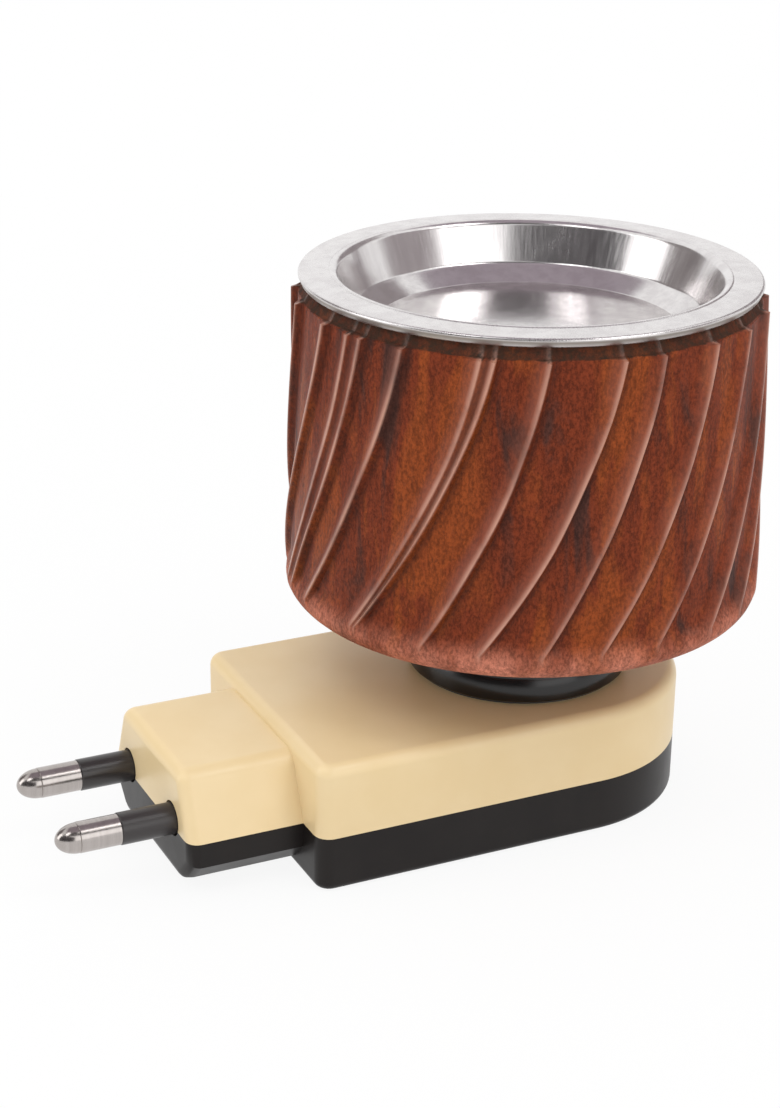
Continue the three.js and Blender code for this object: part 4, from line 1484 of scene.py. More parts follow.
@dataclass
class PlugPins:
    """The two bright pins and the sleeves on their roots."""

    bench: Bench
    radius: float = 2.4 * MM
    nose: float = 3.4 * MM
    nose_crease: float = 0.06 * MM
    sleeve_radius: float = 2.5 * MM
    sleeve_wall: float = 0.5 * MM
    sleeve_edge: float = 0.18 * MM
    shank_fit: float = 0.15 * MM
    flange_radius: float = 3.4 * MM
    flange: float = 2.0 * MM
    tail_radius: float = 1.2 * MM
    backplate: float = 1.5 * MM
    tail: float = 3.5 * MM
    steps: int = 64
    nose_steps: int = 14
    edge_steps: int = 5

    def pin(self, tip: float, sleeve_end: float, tail_end: float) -> Outline:
        """Outline of a pin along its length.

        Args:
            tip: Place of the tip along X.
            sleeve_end: Place where the sleeve begins.
            tail_end: Place of the pin's inner end.

        Returns:
            Points of radius and place.
        """
        shank = self.sleeve_radius - self.sleeve_wall - self.shank_fit
        flange_end = tail_end - self.tail - self.backplate
        points = []
        for step in range(self.nose_steps + 1):
            angle = math.pi / 2 * step / self.nose_steps
            reach = tip + self.nose * (1 - math.cos(angle))
            points.append(((self.radius - self.nose_crease) * math.sin(angle), reach))
        crease = tip + self.nose + self.nose_crease
        return [
            *points,
            (self.radius - 2 * self.nose_crease, crease),
            (self.radius - self.nose_crease / 2, crease + self.nose_crease),
            (self.radius, crease + 3 * self.nose_crease),
            (self.radius, sleeve_end - self.nose_crease),
            (self.radius - self.nose_crease, sleeve_end),
            (shank, sleeve_end),
            (shank, flange_end - self.flange),
            (self.flange_radius, flange_end - self.flange),
            (self.flange_radius, flange_end),
            (self.tail_radius, flange_end),
            (self.tail_radius, tail_end),
            (0, tail_end),
        ]

    def sleeve(self, start: float, end: float) -> Outline:
        """Outline of a sleeve along its length, with eased ends.

        Args:
            start: Place of its outer end along X.
            end: Place of its inner end.

        Returns:
            Points of radius and place, closed.
        """
        edge = self.sleeve_edge
        shoulder = self.sleeve_radius - edge
        inner = self.sleeve_radius - self.sleeve_wall
        return [
            (inner, start),
            *arc((shoulder, start + edge), edge, -90, 0, self.edge_steps),
            *arc((shoulder, end - edge), edge, 0, 90, self.edge_steps),
            (inner, end),
        ]

    def build(self) -> None:
        """Make the pins and sleeves."""
        for name in ("line", "neutral"):
            low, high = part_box(f"pin_{name}")
            sleeve_low, sleeve_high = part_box(f"sleeve_{name}")
            y = (low.y + high.y) / 2
            z = (low.z + high.z) / 2
            pin = turned(self.pin(low.x, sleeve_low.x, high.x), self.steps)
            self.bench.set_down(
                f"pin_{name}_turned", laid_along_x(pin, y, z), NICKEL, Body.PLUG, [f"pin_{name}"]
            )
            sleeve = turned(self.sleeve(sleeve_low.x, sleeve_high.x), self.steps, closed=True)
            self.bench.set_down(
                f"sleeve_{name}_moulding", laid_along_x(sleeve, y, z), SLEEVE, Body.PLUG, [f"sleeve_{name}"]
            )


@dataclass
class Screws:
    """Round screw heads with a cross, in place of the frame's plain ones."""

    bench: Bench
    housing_screws: int = 4
    housing_shank: float = 2.6 * MM / 2
    housing_head: float = 1.8 * MM
    plate_screws: int = 3
    plate_shank: float = 2.2 * MM / 2
    plate_head: float = 1.6 * MM
    recess_depth: float = 1.0 * MM
    recess_span: float = 0.62
    recess_taper: float = 0.55
    arm_width: float = 0.26
    second_arm_depth: float = 0.9
    dome: float = 0.35
    dome_steps: int = 6
    head_steps: int = 32

    def build(self) -> None:
        """Make the screws that show when the object is turned over or opened."""
        for number in range(self.housing_screws):
            node = f"housing_screw_{number + 1}"
            self.screw(node, Body.PLUG, self.housing_shank, self.housing_head, -1)
        for number in range(self.plate_screws):
            node = f"plate_screw_{number + 1}"
            self.screw(node, Body.CUP, self.plate_shank, self.plate_head, 1)

    def screw(self, node: str, body: Body, shank: float, head: float, up: int) -> None:
        """Make one screw.

        Args:
            node: The CAD node that it replaces.
            body: The body that it rides on.
            shank: Radius of its shank.
            head: Height of its head.
            up: 1 where the head looks up, -1 where it looks down.
        """
        low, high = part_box(node)
        radius = (high.y - low.y) / 2
        face, tip = (high.z, low.z) if up > 0 else (low.z, high.z)
        ease = head * self.dome
        rim = face - up * ease
        turns = [math.pi / 2 * step / self.dome_steps for step in range(self.dome_steps + 1)]
        outline = [
            *((radius * math.sin(turn), rim + up * ease * math.cos(turn)) for turn in turns),
            (radius, face - up * head),
            (shank, face - up * head),
            (shank, tip + up * shank),
            (0, tip),
        ]
        cross = self.cross(face, up * self.recess_depth, 2 * radius * self.recess_span)
        shape = carved(turned(outline, self.head_steps), cross)
        bmesh.ops.translate(shape, verts=shape.verts[:], vec=(*axis_of(node), 0))
        self.bench.set_down(f"{node}_crosshead", shape, ZINC, body, [node])

    def cross(self, face: float, depth: float, span: float) -> Tools:
        """Cutters for the cross in a screw's head, on the axis Z.

        Args:
            face: Height of the head's face.
            depth: Depth of the recess, negative for a head that looks down.
            span: Width of the cross.

        Returns:
            Two cutters, narrowing towards their bottom.
        """
        arm = span * self.arm_width
        cutters = []
        for wide, deep, reach in ((span, arm, depth), (arm, span, depth * self.second_arm_depth)):
            shape = bmesh.new()
            made = bmesh.ops.create_cube(shape, size=1.0)["verts"]
            bmesh.ops.scale(shape, verts=made, vec=(wide, deep, abs(reach) * 2))
            tip = [vert for vert in made if vert.co.z * reach < 0]
            bmesh.ops.scale(shape, verts=tip, vec=(self.recess_taper, self.recess_taper, 1))
            bmesh.ops.translate(shape, verts=made, vec=(0, 0, face))
            cutters.append((Carving.CUT, shape))
        return cutters


@dataclass
class Swivel:
    """The gloss collar under the cup and the washer that it turns on."""

    bench: Bench
    edge: float = 0.5 * MM
    flare: float = 6.0 * MM
    flare_turn: float = 30.0
    stem_hole: float = 5.3 * MM
    journal_hole: float = 7.3 * MM
    journal_seat: float = 2.0 * MM
    groove_inner: float = 9.5 * MM
    groove_outer: float = 14.5 * MM
    web: float = 4.5 * MM
    screws: int = 3
    screw_hole: float = 1.8 * MM
    washer_hole: float = 7.6 * MM
    steps: int = 144
    edge_steps: int = 8
    flare_steps: int = 10

    def collar(self) -> BMesh:
        """The collar, hollow below, with its screw holes.

        Returns:
            The solid.
        """
        low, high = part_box("collar")
        radius, bottom, top = high.y, low.z, high.z
        groove = top - self.web
        shoulder = bottom + self.journal_seat
        flare_centre = (radius - self.flare, bottom + 2 * self.edge)
        flare = arc(flare_centre, self.flare, 0, self.flare_turn, self.flare_steps)
        outline = [
            *arc((radius - self.edge, bottom + self.edge), self.edge, -90, 0, self.edge_steps),
            *flare,
            (flare[-1][0], top - self.edge),
            (flare[-1][0] - self.edge, top),
            (self.stem_hole, top),
            (self.stem_hole, shoulder),
            (self.journal_hole, shoulder),
            (self.journal_hole, bottom),
            (self.groove_inner, bottom),
            (self.groove_inner, groove),
            (self.groove_outer, groove),
            (self.groove_outer, bottom),
        ]
        cuts = []
        for number in range(self.screws):
            place = axis_of(f"collar_screw_{number + 1}")
            cuts.append((Carving.CUT, rod(self.screw_hole, groove - OVERCUT, top + OVERCUT, place)))
        return carved(turned(outline, self.steps, closed=True), cuts)

    def washer(self) -> BMesh:
        """The flat ring that the collar turns on.

        Returns:
            The solid.
        """
        low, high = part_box("thrust_washer")
        ring = [(self.washer_hole, low.z), (high.y, low.z), (high.y, high.z), (self.washer_hole, high.z)]
        return turned(ring, self.steps, closed=True)

    def build(self) -> None:
        """Make the collar and the thrust washer."""
        self.bench.set_down("collar_turned", self.collar(), COLLAR_BLACK, Body.CUP, ["collar"])
        self.bench.set_down("thrust_washer_ring", self.washer(), INSULATOR, Body.PLUG, ["thrust_washer"])


@dataclass(frozen=True)
class Ridge:
    """One ridge of the carved cup.

    Its direction is taken at the top edge, in degrees. Its lean and the depth of the flute after it are
    shares of the cup's own.
    """

    direction: float
    lean: float = 1.06
    depth: float = 1.0


@dataclass
class WoodCup:
    """The turned cup, carved by hand in flutes that lean over more towards the foot."""

    bench: Bench
    foot_radius: float = 38.15 * MM
    top_radius: float = 36.95 * MM
    side_height: float = 49.5 * MM
    foot_round: float = 4.6 * MM
    floor: float = 7.0 * MM
    bore: float = 31.2 * MM
    land_radius: float = 34.7 * MM
    ledge: float = 1.5 * MM
    ledge_rise: float = 0.35 * MM
    bevel_rise: float = 1.7 * MM
    mouth_edge: float = 0.3 * MM
    stem_hole: float = 5.3 * MM
    # Lean in degrees for each millimetre below the edge, and its growth
    lean: float = 0.276
    lean_growth: float = 0.00758
    sway: float = 0.5
    sway_apart: float = 1.7
    sway_rate: float = 0.07
    sway_seed: float = 9.0
    flute_depth: float = 1.2 * MM
    flute_fade: float = 4.8 * MM
    flute_drop: float = 0.95 * MM
    flute_rise: float = 3.1 * MM
    flute_half: float = 0.45
    crest_left: float = 0.80 * MM
    crest_right: float = 0.30 * MM
    nick: float = 0.16 * MM
    nick_scale: float = 700.0
    columns: int = 24
    gather: float = 0.75
    rows: int = 56
    foot_rows: int = 12
    ledge_rows: int = 3
    hidden_ridges: int = 13
    # The ridges in sight, from the left
    seen_ridges: tuple[Ridge, ...] = (
        Ridge(-192.4, 1.10),
        Ridge(-174.6, 1.27, 0.85),
        Ridge(-164.6, 1.04, 0.30),
        Ridge(-160.3, 1.06, 0.90),
        Ridge(-148.3, 1.13, 0.90),
        Ridge(-129.2, 1.15, 0.35),
        Ridge(-126.2, 1.21),
        Ridge(-113.9, 0.99),
        Ridge(-96.7, 1.11, 0.85),
        Ridge(-86.5, 0.97),
        Ridge(-70.6, 1.05, 0.90),
        Ridge(-56.5, 1.04),
        Ridge(-40.2, 1.02),
    )

    def __post_init__(self) -> None:
        """Read the cup's heights from the frame and spread the ridges that are out of sight."""
        low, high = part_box("wood_cup")
        self.low = low.z
        self.land = high.z
        self.edge = self.low + self.side_height
        self.bevel_top = self.edge + self.bevel_rise
        self.side_low = self.low + self.foot_round
        self.slope = (self.top_radius - self.foot_radius) / self.side_height
        first, last = self.seen_ridges[0].direction + 360, self.seen_ridges[-1].direction
        gap = (first - last) / (self.hidden_ridges + 1)
        hidden = [Ridge(last + gap * (number + 1)) for number in range(self.hidden_ridges)]
        self.ridges = [*self.seen_ridges, *hidden]
        self.steps = len(self.ridges) * self.columns

    def side_radius(self, height: float) -> float:
        """Radius of the uncarved side at a height."""
        return self.foot_radius + self.slope * (height - self.low)

    def outline(self) -> Outline:
        """Outline of the uncarved cup.

        Returns:
            Points of radius and height, closed.
        """
        centre = (self.side_radius(self.side_low) - self.foot_round, self.side_low)
        brow = (self.top_radius, self.edge)
        corner = (self.top_radius - self.ledge, self.edge + self.ledge_rise)
        neck = (self.land_radius, self.bevel_top)
        floor_top = self.low + self.floor
        side = []
        for row in range(1, self.rows + 1):
            height = self.side_low + (self.edge - self.side_low) * row / self.rows
            side.append((self.side_radius(height), height))
        return [
            *arc(centre, self.foot_round, -90, 0, self.foot_rows),
            *side,
            *along(brow, corner, self.ledge_rows),
            *along(corner, neck, self.ledge_rows),
            (self.land_radius, self.land - self.mouth_edge),
            (self.land_radius - self.mouth_edge, self.land),
            (self.bore + self.mouth_edge, self.land),
            (self.bore, self.land - self.mouth_edge),
            (self.bore, floor_top),
            (self.stem_hole, floor_top),
            (self.stem_hole, self.low),
        ]

    def ridge_way(self, number: int, height: float) -> float:
        """Direction of one ridge at a height. The foot's rounding adds no lean.

        Args:
            number: Number of the ridge, counted on past a full turn.
            height: The height.

        Returns:
            The direction in degrees.
        """
        turns, place = divmod(number, len(self.ridges))
        ridge = self.ridges[place]
        down = max(self.edge - max(height, self.side_low), 0.0) / MM
        seed = Vector((place * self.sway_apart, down * self.sway_rate, self.sway_seed))
        lean = ridge.lean * (self.lean * down + self.lean_growth * down * down)
        return ridge.direction + 360 * turns + self.sway * noise.noise(seed) - lean

    def flute_fade_at(self, height: float) -> float:
        """Share of the flutes' full depth at a height, from 0 at the foot to 1."""
        return soft_step((height - self.low - self.foot_round / 2) / self.flute_fade)

    def hollow(self, number: int, from_left: float, from_right: float) -> float:
        """Depth of the carving at full height: a short drop after a ridge and a long rise to the next.

        Args:
            number: Number of the ridge on the flute's left.
            from_left: Distance from that ridge.
            from_right: Distance from the next ridge.

        Returns:
            The depth.
        """
        most = self.flute_half * (from_left + from_right)
        drop = soft_step(from_left / min(self.flute_drop, most))
        rise = soft_step(from_right / min(self.flute_rise, most))
        return self.flute_depth * self.ridges[number].depth * min(drop, rise)

    def cut(self, place: Vector, radius: float, depth: float) -> Point:
        """Where the carving moves one point of the blank's outside.

        Args:
            place: The point on the blank.
            radius: Its radius.
            depth: Depth of the carving there at full height.

        Returns:
            The point's new radius and height.
        """
        if place.z < self.edge - MERGE_DISTANCE:
            return radius - depth * self.flute_fade_at(place.z), place.z
        nick = self.nick * noise.noise(place * self.nick_scale)
        corner = self.top_radius - self.ledge
        if radius > corner - MERGE_DISTANCE:
            brow = self.top_radius - depth
            share = (self.top_radius - radius) / self.ledge
            return brow + (corner - brow) * share, place.z + nick
        return radius - abs(nick), place.z

    def flute_at(self, place: Vector) -> tuple[int, float]:
        """Which flute a point of the blank belongs to.

        Args:
            place: The point.

        Returns:
            Number of the ridge on its left, and the share of the way to the next.
        """
        angle = math.degrees(math.atan2(place.y, place.x))
        turn = round((angle - self.ridges[0].direction) / 360 * self.steps) % self.steps
        number, column = divmod(turn, self.columns)
        share = column / self.columns
        return number, share - self.gather * math.sin(math.tau * share) / math.tau

    def carve_point(self, vert: BMVert) -> dict[WoodMark, float]:
        """Move one point of the blank to its place on the carved cup.

        Args:
            vert: The point, changed in place.

        Returns:
            What the finish needs to know there.
        """
        number, across = self.flute_at(vert.co)
        radius = math.hypot(vert.co.x, vert.co.y)
        height = vert.co.z
        outside = radius > self.land_radius - MERGE_DISTANCE and height < self.bevel_top + MERGE_DISTANCE
        in_stem = radius < self.stem_hole + MERGE_DISTANCE
        inside = not outside and not in_stem and height > self.side_low
        at = height
        if in_stem:
            at = self.low
        elif inside:
            at = self.edge
        left, right = self.ridge_way(number, at), self.ridge_way(number + 1, at)
        span = math.radians(right - left) * radius
        from_left, from_right = across * span, (1 - across) * span
        if outside:
            depth = self.hollow(number, from_left, from_right)
            radius, height = self.cut(vert.co, radius, depth)
        way = math.radians(left + (right - left) * across)
        vert.co = (radius * math.cos(way), radius * math.sin(way), height)
        fade = self.flute_fade_at(height) if outside else 0.0
        # Mask of the crests, which places the painted highlight colour and the crests' extra gloss
        crest_highlight = max(1 - from_left / self.crest_right, 1 - from_right / self.crest_left, 0.0)
        return {
            WoodMark.RIDGE: crest_highlight * fade,
            # RISE places the painted light of the rising flanks
            WoodMark.RISE: soft_step(1 - from_right / self.flute_rise) * fade,
            # HOLLOW places the painted shade after each ridge's drop
            WoodMark.HOLLOW: max(1 - abs(from_left / self.flute_drop - 1), 0.0) * fade,
            WoodMark.SAW_CUT: 1.0 if height > self.edge + self.nick else 0.0,
            # FOOT places the painted light of the foot and its extra roughness
            WoodMark.FOOT: 0.0 if inside else 1 - fade,
        }

    def build(self) -> None:
        """Make the cup: turn the blank, carve its flutes and mark what the finish needs to know."""
        shape = turned(self.outline(), self.steps, closed=True, start=self.ridges[0].direction)
        layers = {mark: shape.verts.layers.float.new(mark.value) for mark in WoodMark}
        for vert in shape.verts:
            for mark, value in self.carve_point(vert).items():
                vert[layers[mark]] = value
        self.bench.set_down("wood_cup_carved", shape, ROSEWOOD, Body.CUP, ["wood_cup"])


@dataclass
class Dish:
    """The drawn metal dish: a flat rim, a well and a ring that slopes down to the round floor."""

    bench: Bench
    sheet: float = 0.8 * MM
    rim_fall: float = 0.25 * MM
    rim_edge: float = 0.45 * MM
    skirt: float = 1.7 * MM
    skirt_draft: float = 0.35 * MM
    well_radius: float = 29.5 * MM
    lip: float = 1.3 * MM
    crease: float = 0.10 * MM
    crease_place: float = 0.2
    # Points of the crease: place and depth in creases, and the share of the rim's fall
    crease_points: tuple[Place, ...] = ((4, 0, 0.4), (1, 0, 0.3), (0, 0.5, 0.3), (-1, 0, 0.2))
    floor_radius: float = 27.1 * MM
    depth: float = 6.5 * MM
    foot_round: float = 1.0 * MM
    recess_radius: float = 23.5 * MM
    recess_depth: float = 2.3 * MM
    recess_round: float = 0.5 * MM
    steps: int = 192
    arc_steps: int = 8
    lip_steps: int = 12

    def slope(self) -> float:
        """Angle of the sloping ring, in degrees."""
        return math.degrees(math.atan2(self.recess_depth, self.floor_radius - self.recess_radius))

    def wall(self) -> float:
        """Angle of the well's wall, in degrees."""
        return math.degrees(math.atan2(self.depth, self.well_radius - self.floor_radius))

    def topside(self, rim: float, top: float) -> Outline:
        """Outline of the dish's upper face, from its outer edge to the axis.

        Args:
            rim: Radius of the rim.
            top: Height of the highest point.

        Returns:
            Points of radius and height.
        """
        wall, slope = self.wall(), self.slope()
        floor = top - self.depth
        recess = floor - self.recess_depth
        rim_centre = (rim - self.rim_edge, top - self.rim_fall - self.rim_edge)
        lip_centre = (self.well_radius + self.lip, top - self.lip)
        crease = lip_centre[0] + self.lip * self.crease_place
        middle = math.radians((wall + slope) / 2 + 90)
        reach = self.foot_round / math.cos(math.radians((wall - slope) / 2))
        foot_centre = (self.floor_radius + reach * math.cos(middle), floor + reach * math.sin(middle))
        inset = self.recess_round * math.tan(math.radians(slope / 2))
        recess_centre = (self.recess_radius - inset, recess + self.recess_round)
        return [
            *arc(rim_centre, self.rim_edge, 0, 90, self.arc_steps),
            *(
                (crease + place * self.crease, top - fall * self.rim_fall - depth * self.crease)
                for place, depth, fall in self.crease_points
            ),
            *arc(lip_centre, self.lip, 90, 90 + wall, self.lip_steps),
            *arc(foot_centre, self.foot_round, wall - 90, slope - 90, self.arc_steps),
            *arc(recess_centre, self.recess_round, slope - 90, -90, self.arc_steps),
            (0, recess),
        ]

    def underside(self, rim: float, top: float) -> Outline:
        """Outline of the dish's lower face, from the axis to its outer edge.

        Args:
            rim: Radius of the rim.
            top: Height of the highest point.

        Returns:
            Points of radius and height.
        """
        floor = top - self.depth
        recess = floor - self.recess_depth - self.sheet
        land = top - self.sheet
        tuck = rim - self.skirt_draft
        outset = self.sheet * math.tan(math.radians(self.slope() / 2))
        return [
            (0, recess),
            (self.recess_radius + outset, recess),
            (self.floor_radius + self.sheet, floor - self.sheet / 2),
            (self.well_radius + self.sheet, land - self.lip),
            (self.well_radius + self.sheet + self.lip, land),
            (rim - self.sheet, land),
            (tuck - self.sheet, top - self.skirt),
            (tuck - self.sheet / 4, top - self.skirt),
            (tuck, top - self.skirt + self.sheet / 4),
        ]

    def build(self) -> None:
        """Make the dish."""
        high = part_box("dish")[1]
        outline = self.underside(high.y, high.z) + self.topside(high.y, high.z)
        self.bench.set_down("dish_drawn", turned(outline, self.steps), DISH_STEEL, Body.DISH, ["dish"])


@dataclass
class HeaterTray:
    """What shows in the cup when the dish is lifted: the liner and the heater plate."""

    bench: Bench
    liner_sheet: float = 0.8 * MM
    stem_hole: float = 5.3 * MM
    plate_edge: float = 0.3 * MM
    screws: int = 3
    screw_hole: float = 1.4 * MM
    head_hole: float = 2.3 * MM
    head_height: float = 1.6 * MM
    steps: int = 144

    def liner(self) -> BMesh:
        """The liner, a thin cup with a hole for the stem.

        Returns:
            The solid.
        """
        low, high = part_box("liner")
        inner = high.y - self.liner_sheet
        bottom = low.z + self.liner_sheet
        outline = [
            (high.y, low.z),
            (high.y, high.z),
            (inner, high.z),
            (inner, bottom),
            (self.stem_hole, bottom),
            (self.stem_hole, low.z),
        ]
        return turned(outline, self.steps, closed=True)

    def plate(self) -> BMesh:
        """The heater plate with its countersunk screw holes.

        Returns:
            The solid.
        """
        low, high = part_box("heater_plate")
        edge = self.plate_edge
        outline = [
            (0, low.z),
            (high.y - edge, low.z),
            (high.y, low.z + edge),
            (high.y, high.z - edge),
            (high.y - edge, high.z),
            (0, high.z),
        ]
        cuts = []
        for number in range(self.screws):
            node = f"plate_screw_{number + 1}"
            place = axis_of(node)
            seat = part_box(node)[1].z - self.head_height
            cuts.append((Carving.CUT, rod(self.screw_hole, low.z - OVERCUT, high.z, place)))
            cuts.append((Carving.CUT, rod(self.head_hole, seat, high.z + OVERCUT, place)))
        return carved(turned(outline, self.steps), cuts)

    def build(self) -> None:
        """Make the liner and the heater plate."""
        self.bench.set_down("liner_spun", self.liner(), ZINC, Body.CUP, ["liner"])
        self.bench.set_down("heater_plate_turned", self.plate(), ALUMINIUM, Body.CUP, ["heater_plate"])


@dataclass
class InnerParts:
    """CAD nodes that keep their own shape, each with its finish."""

    bench: Bench

    def finishes(self) -> dict[str, Finish]:
        """The finish of each node that isn't plated steel.

        Returns:
            Finish by node name.
        """
        chosen: dict[str, Finish] = {
            "pin_carrier": INSULATOR,
            "pin_backplate": INSULATOR,
            "sleeving": FIBRE,
            "heater_holder": CERAMIC,
            "ptc_element": CERAMIC,
            "thermal_fuse": CERAMIC,
            "mica_lower": MICA,
            "mica_upper": MICA,
        }
        for name, lead in (("line", LEAD_RED), ("neutral", LEAD_BLUE)):
            chosen[f"terminal_{name}"] = BRASS
            chosen[f"tab_terminal_{name}"] = BRASS
            chosen[f"lead_{name}_lower"] = lead
            chosen[f"lead_{name}_upper"] = lead
        for name in ("electrode_lower", "electrode_upper", "standoff_1", "standoff_2", "standoff_3"):
            chosen[name] = BRASS
        return chosen

    def build(self) -> None:
        """Dress every CAD node that no piece replaces. What isn't named is plated steel."""
        chosen = self.finishes()
        for name in sorted(set(self.bench.nodes) - self.bench.replaced):
            self.bench.dress_node(name, chosen.get(name, ZINC))


# Studio


@dataclass(frozen=True)
class Panel:
    """A flat studio piece that faces the object. Its direction is in degrees, about Z from +X and up."""

    name: str
    azimuth: float
    elevation: float
    distance: float
    width: float
    height: float

    def way(self) -> Vector:
        """Direction from the object to the panel.

        Returns:
            The unit direction.
        """
        around = math.radians(self.azimuth)
        above = math.radians(self.elevation)
        level = math.cos(above)
        return Vector((math.cos(around) * level, math.sin(around) * level, math.sin(above)))

    def turn(self) -> Quaternion:
        """The turn that makes the panel face the object."""
        return (-self.way()).to_track_quat("-Z", "Y")


@dataclass(frozen=True)
class SoftBox(Panel):
    """A soft white lamp."""

    power: float


@dataclass(frozen=True)
class Flag(Panel):
    """A dark card that shows only in reflections and takes no light from the object."""

    colour: Colour


@dataclass
class Studio:
    """Camera, lamps, dark cards, floor and backdrop."""

    camera_place: Place = (-171.66 * MM, -308.78 * MM, 184.22 * MM)
    camera_yaw: float = 0.4479
    camera_pitch: float = 0.3901
    camera_roll: float = 0.0142
    camera_clip: float = 10.0 * MM
    focal_pixels: float = 2362.4
    target: Place = (0.0, 0.0, 0.060)
    floor_size: float = 8.0
    floor_gap: float = 0.1 * MM
    floor_colour: Colour = (0.80, 0.80, 0.80)
    floor_glow: float = 0.90
    shadow_reach: Range = (0.12, 0.42)
    ambient: Range = (0.76, 1.16)
    boxes: tuple[SoftBox, ...] = (
        SoftBox("key_box", 159.0, 22.0, 1.0, 0.43, 0.60, 1.3),
        SoftBox("fill_box", -77.0, 22.0, 1.0, 0.77, 0.60, 1.15),
        SoftBox("top_left_box", -158.0, 56.0, 0.9, 0.25, 0.30, 0.7),
        SoftBox("top_right_box", -54.0, 56.0, 0.9, 0.30, 0.30, 1.0),
    )
    flags: tuple[Flag, ...] = (
        Flag("front_card", -144.0, 24.0, 1.4, 2.43, 0.90, (0.090, 0.084, 0.088)),
        Flag("right_card", -31.0, 24.0, 1.4, 0.96, 0.90, (0.400, 0.360, 0.370)),
        Flag("far_right_card", 28.0, 24.0, 1.4, 0.90, 0.90, (0.340, 0.300, 0.310)),
        Flag("left_card", 128.0, 24.0, 1.4, 0.86, 0.90, (0.240, 0.215, 0.215)),
        Flag("upper_card", -115.0, 58.0, 1.3, 2.40, 0.60, (0.120, 0.113, 0.116)),
        Flag("ceiling_card", 60.0, 84.0, 1.4, 1.50, 1.40, (0.390, 0.335, 0.375)),
    )

    def camera(self) -> None:
        """Stand the camera where the photograph was taken."""
        yaw, pitch, roll = self.camera_yaw, self.camera_pitch, self.camera_roll
        ahead = Vector((
            math.sin(yaw) * math.cos(pitch),
            math.cos(yaw) * math.cos(pitch),
            -math.sin(pitch),
        ))
        level = Vector((math.cos(yaw), -math.sin(yaw), 0))
        upright = level.cross(ahead)
        right = level * math.cos(roll) + upright * math.sin(roll)
        up = upright * math.cos(roll) - level * math.sin(roll)
        data = bpy.data.cameras.new("camera")
        data.sensor_width = SENSOR_WIDTH
        data.lens = self.focal_pixels * SENSOR_WIDTH / PHOTO_HEIGHT
        data.clip_start = self.camera_clip
        made = bpy.data.objects.new("camera", data)
        turn = Matrix((right, up, -ahead)).transposed().to_4x4()
        made.matrix_world = Matrix.Translation(self.camera_place) @ turn
        bpy.context.scene.collection.objects.link(made)
        bpy.context.scene.camera = made

    def place_of(self, panel: Panel) -> Vector:
        """Where a panel stands."""
        return Vector(self.target) + panel.way() * panel.distance

    def lamp(self, box: SoftBox) -> None:
        """Hang one soft lamp, looking at the object.

        Args:
            box: The lamp.
        """
        data = bpy.data.lights.new(box.name, "AREA")
        data.shape = "RECTANGLE"
        data.size = box.width
        data.size_y = box.height
        data.energy = box.power
        made = bpy.data.objects.new(box.name, data)
        made.location = self.place_of(box)
        made.rotation_euler = box.turn().to_euler()
        bpy.context.scene.collection.objects.link(made)

    def card(self, flag: Flag) -> None:
        """Stand one dark card, out of the camera's sight.

        Args:
            flag: The card.
        """
        shape = level_sheet(flag.width, flag.height)
        bmesh.ops.rotate(shape, verts=shape.verts[:], cent=(0, 0, 0), matrix=flag.turn().to_matrix())
        bmesh.ops.translate(shape, verts=shape.verts[:], vec=self.place_of(flag))
        made = as_object(flag.name, shape)
        made.visible_camera = False
        made.visible_diffuse = False
        made.visible_shadow = False

        def matte(board: NodeBoard) -> Socket:
            """Lay the card's plain grey."""
            return board.add("ShaderNodeBsdfDiffuse", inputs={"Color": flag.colour}).outputs[0]

        made.data.materials.append(new_material(f"{flag.name}_paint", matte))

    @staticmethod
    def seen_directly(board: NodeBoard) -> Socket:
        """Mask of what the camera, a mirror or glass sees.

        Args:
            board: Board of the floor or the world.

        Returns:
            The socket of the mask.
        """
        path = board.add("ShaderNodeLightPath").outputs
        mirrored = board.sum("MAXIMUM", path["Is Glossy Ray"], path["Is Transmission Ray"])
        return board.sum("MAXIMUM", path["Is Camera Ray"], mirrored)

    def floor_paint(self, board: NodeBoard) -> Socket:
        """Lay the floor's paint, which shows white and keeps a soft shadow.

        Args:
            board: The material's board.

        Returns:
            The shader's socket.
        """
        matte = board.add("ShaderNodeBsdfDiffuse", inputs={"Color": self.floor_colour})
        white = board.add("ShaderNodeEmission", inputs={"Color": WHITE, "Strength": 1.0})
        away = board.length(board.place())
        glow = board.span(away, *self.shadow_reach, self.floor_glow, 1.0)
        share = board.product(self.seen_directly(board), glow)
        values = {0: share, 1: matte.outputs[0], 2: white.outputs[0]}
        return board.add("ShaderNodeMixShader", inputs=values).outputs[0]

    def floor(self) -> None:
        """Lay the pale floor."""
        shape = level_sheet(self.floor_size, self.floor_size)
        bmesh.ops.translate(shape, verts=shape.verts[:], vec=(0, 0, -self.floor_gap))
        made = as_object("floor", shape)
        made.data.materials.append(new_material("floor_paint", self.floor_paint))

    def world(self) -> None:
        """Put up a white backdrop, which lights the object more from above than from the sides."""
        world = bpy.data.worlds.new("backdrop")
        world.use_nodes = True
        board = NodeBoard(world.node_tree)
        way = board.add("ShaderNodeTexCoord").outputs["Generated"]
        height = board.add("ShaderNodeSeparateXYZ", inputs={0: way}).outputs[2]
        given = board.span(height, 0.0, 1.0, *self.ambient)
        strength = board.between(self.seen_directly(board), given, 1.0)
        sky = board.add("ShaderNodeBackground", inputs={"Color": WHITE, "Strength": strength})
        board.add("ShaderNodeOutputWorld", inputs={"Surface": sky.outputs[0]})
        bpy.context.scene.world = world

    def build(self) -> None:
        """Set the studio up."""
        self.camera()
        for box in self.boxes:
            self.lamp(box)
        for flag in self.flags:
            self.card(flag)
        self.floor()
        self.world()
        bpy.context.scene.view_settings.view_transform = "Standard"
        log.info("studio: camera, %d lamps, %d cards, floor and backdrop", len(self.boxes), len(self.flags))


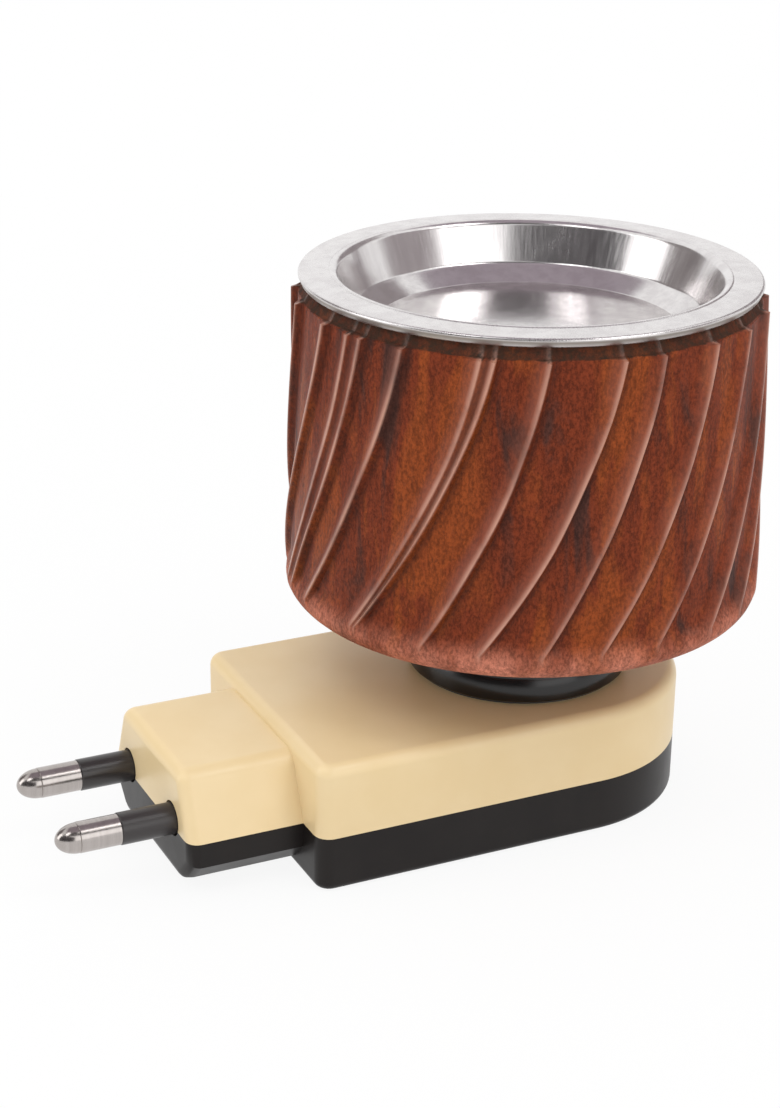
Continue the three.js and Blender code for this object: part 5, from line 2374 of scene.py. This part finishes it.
def main() -> None:
    """Load the frame, set the studio up and build every piece around it."""
    logging.basicConfig(level=logging.INFO, format="%(name)s: %(message)s")
    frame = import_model()
    Studio().build()
    bench = Bench(frame["nodes"])
    for assembly in (Housing, PlugPins, Swivel, WoodCup, Dish, HeaterTray, Screws, InnerParts):
        assembly(bench).build()
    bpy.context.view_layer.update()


if __name__ == "__main__":
    main()
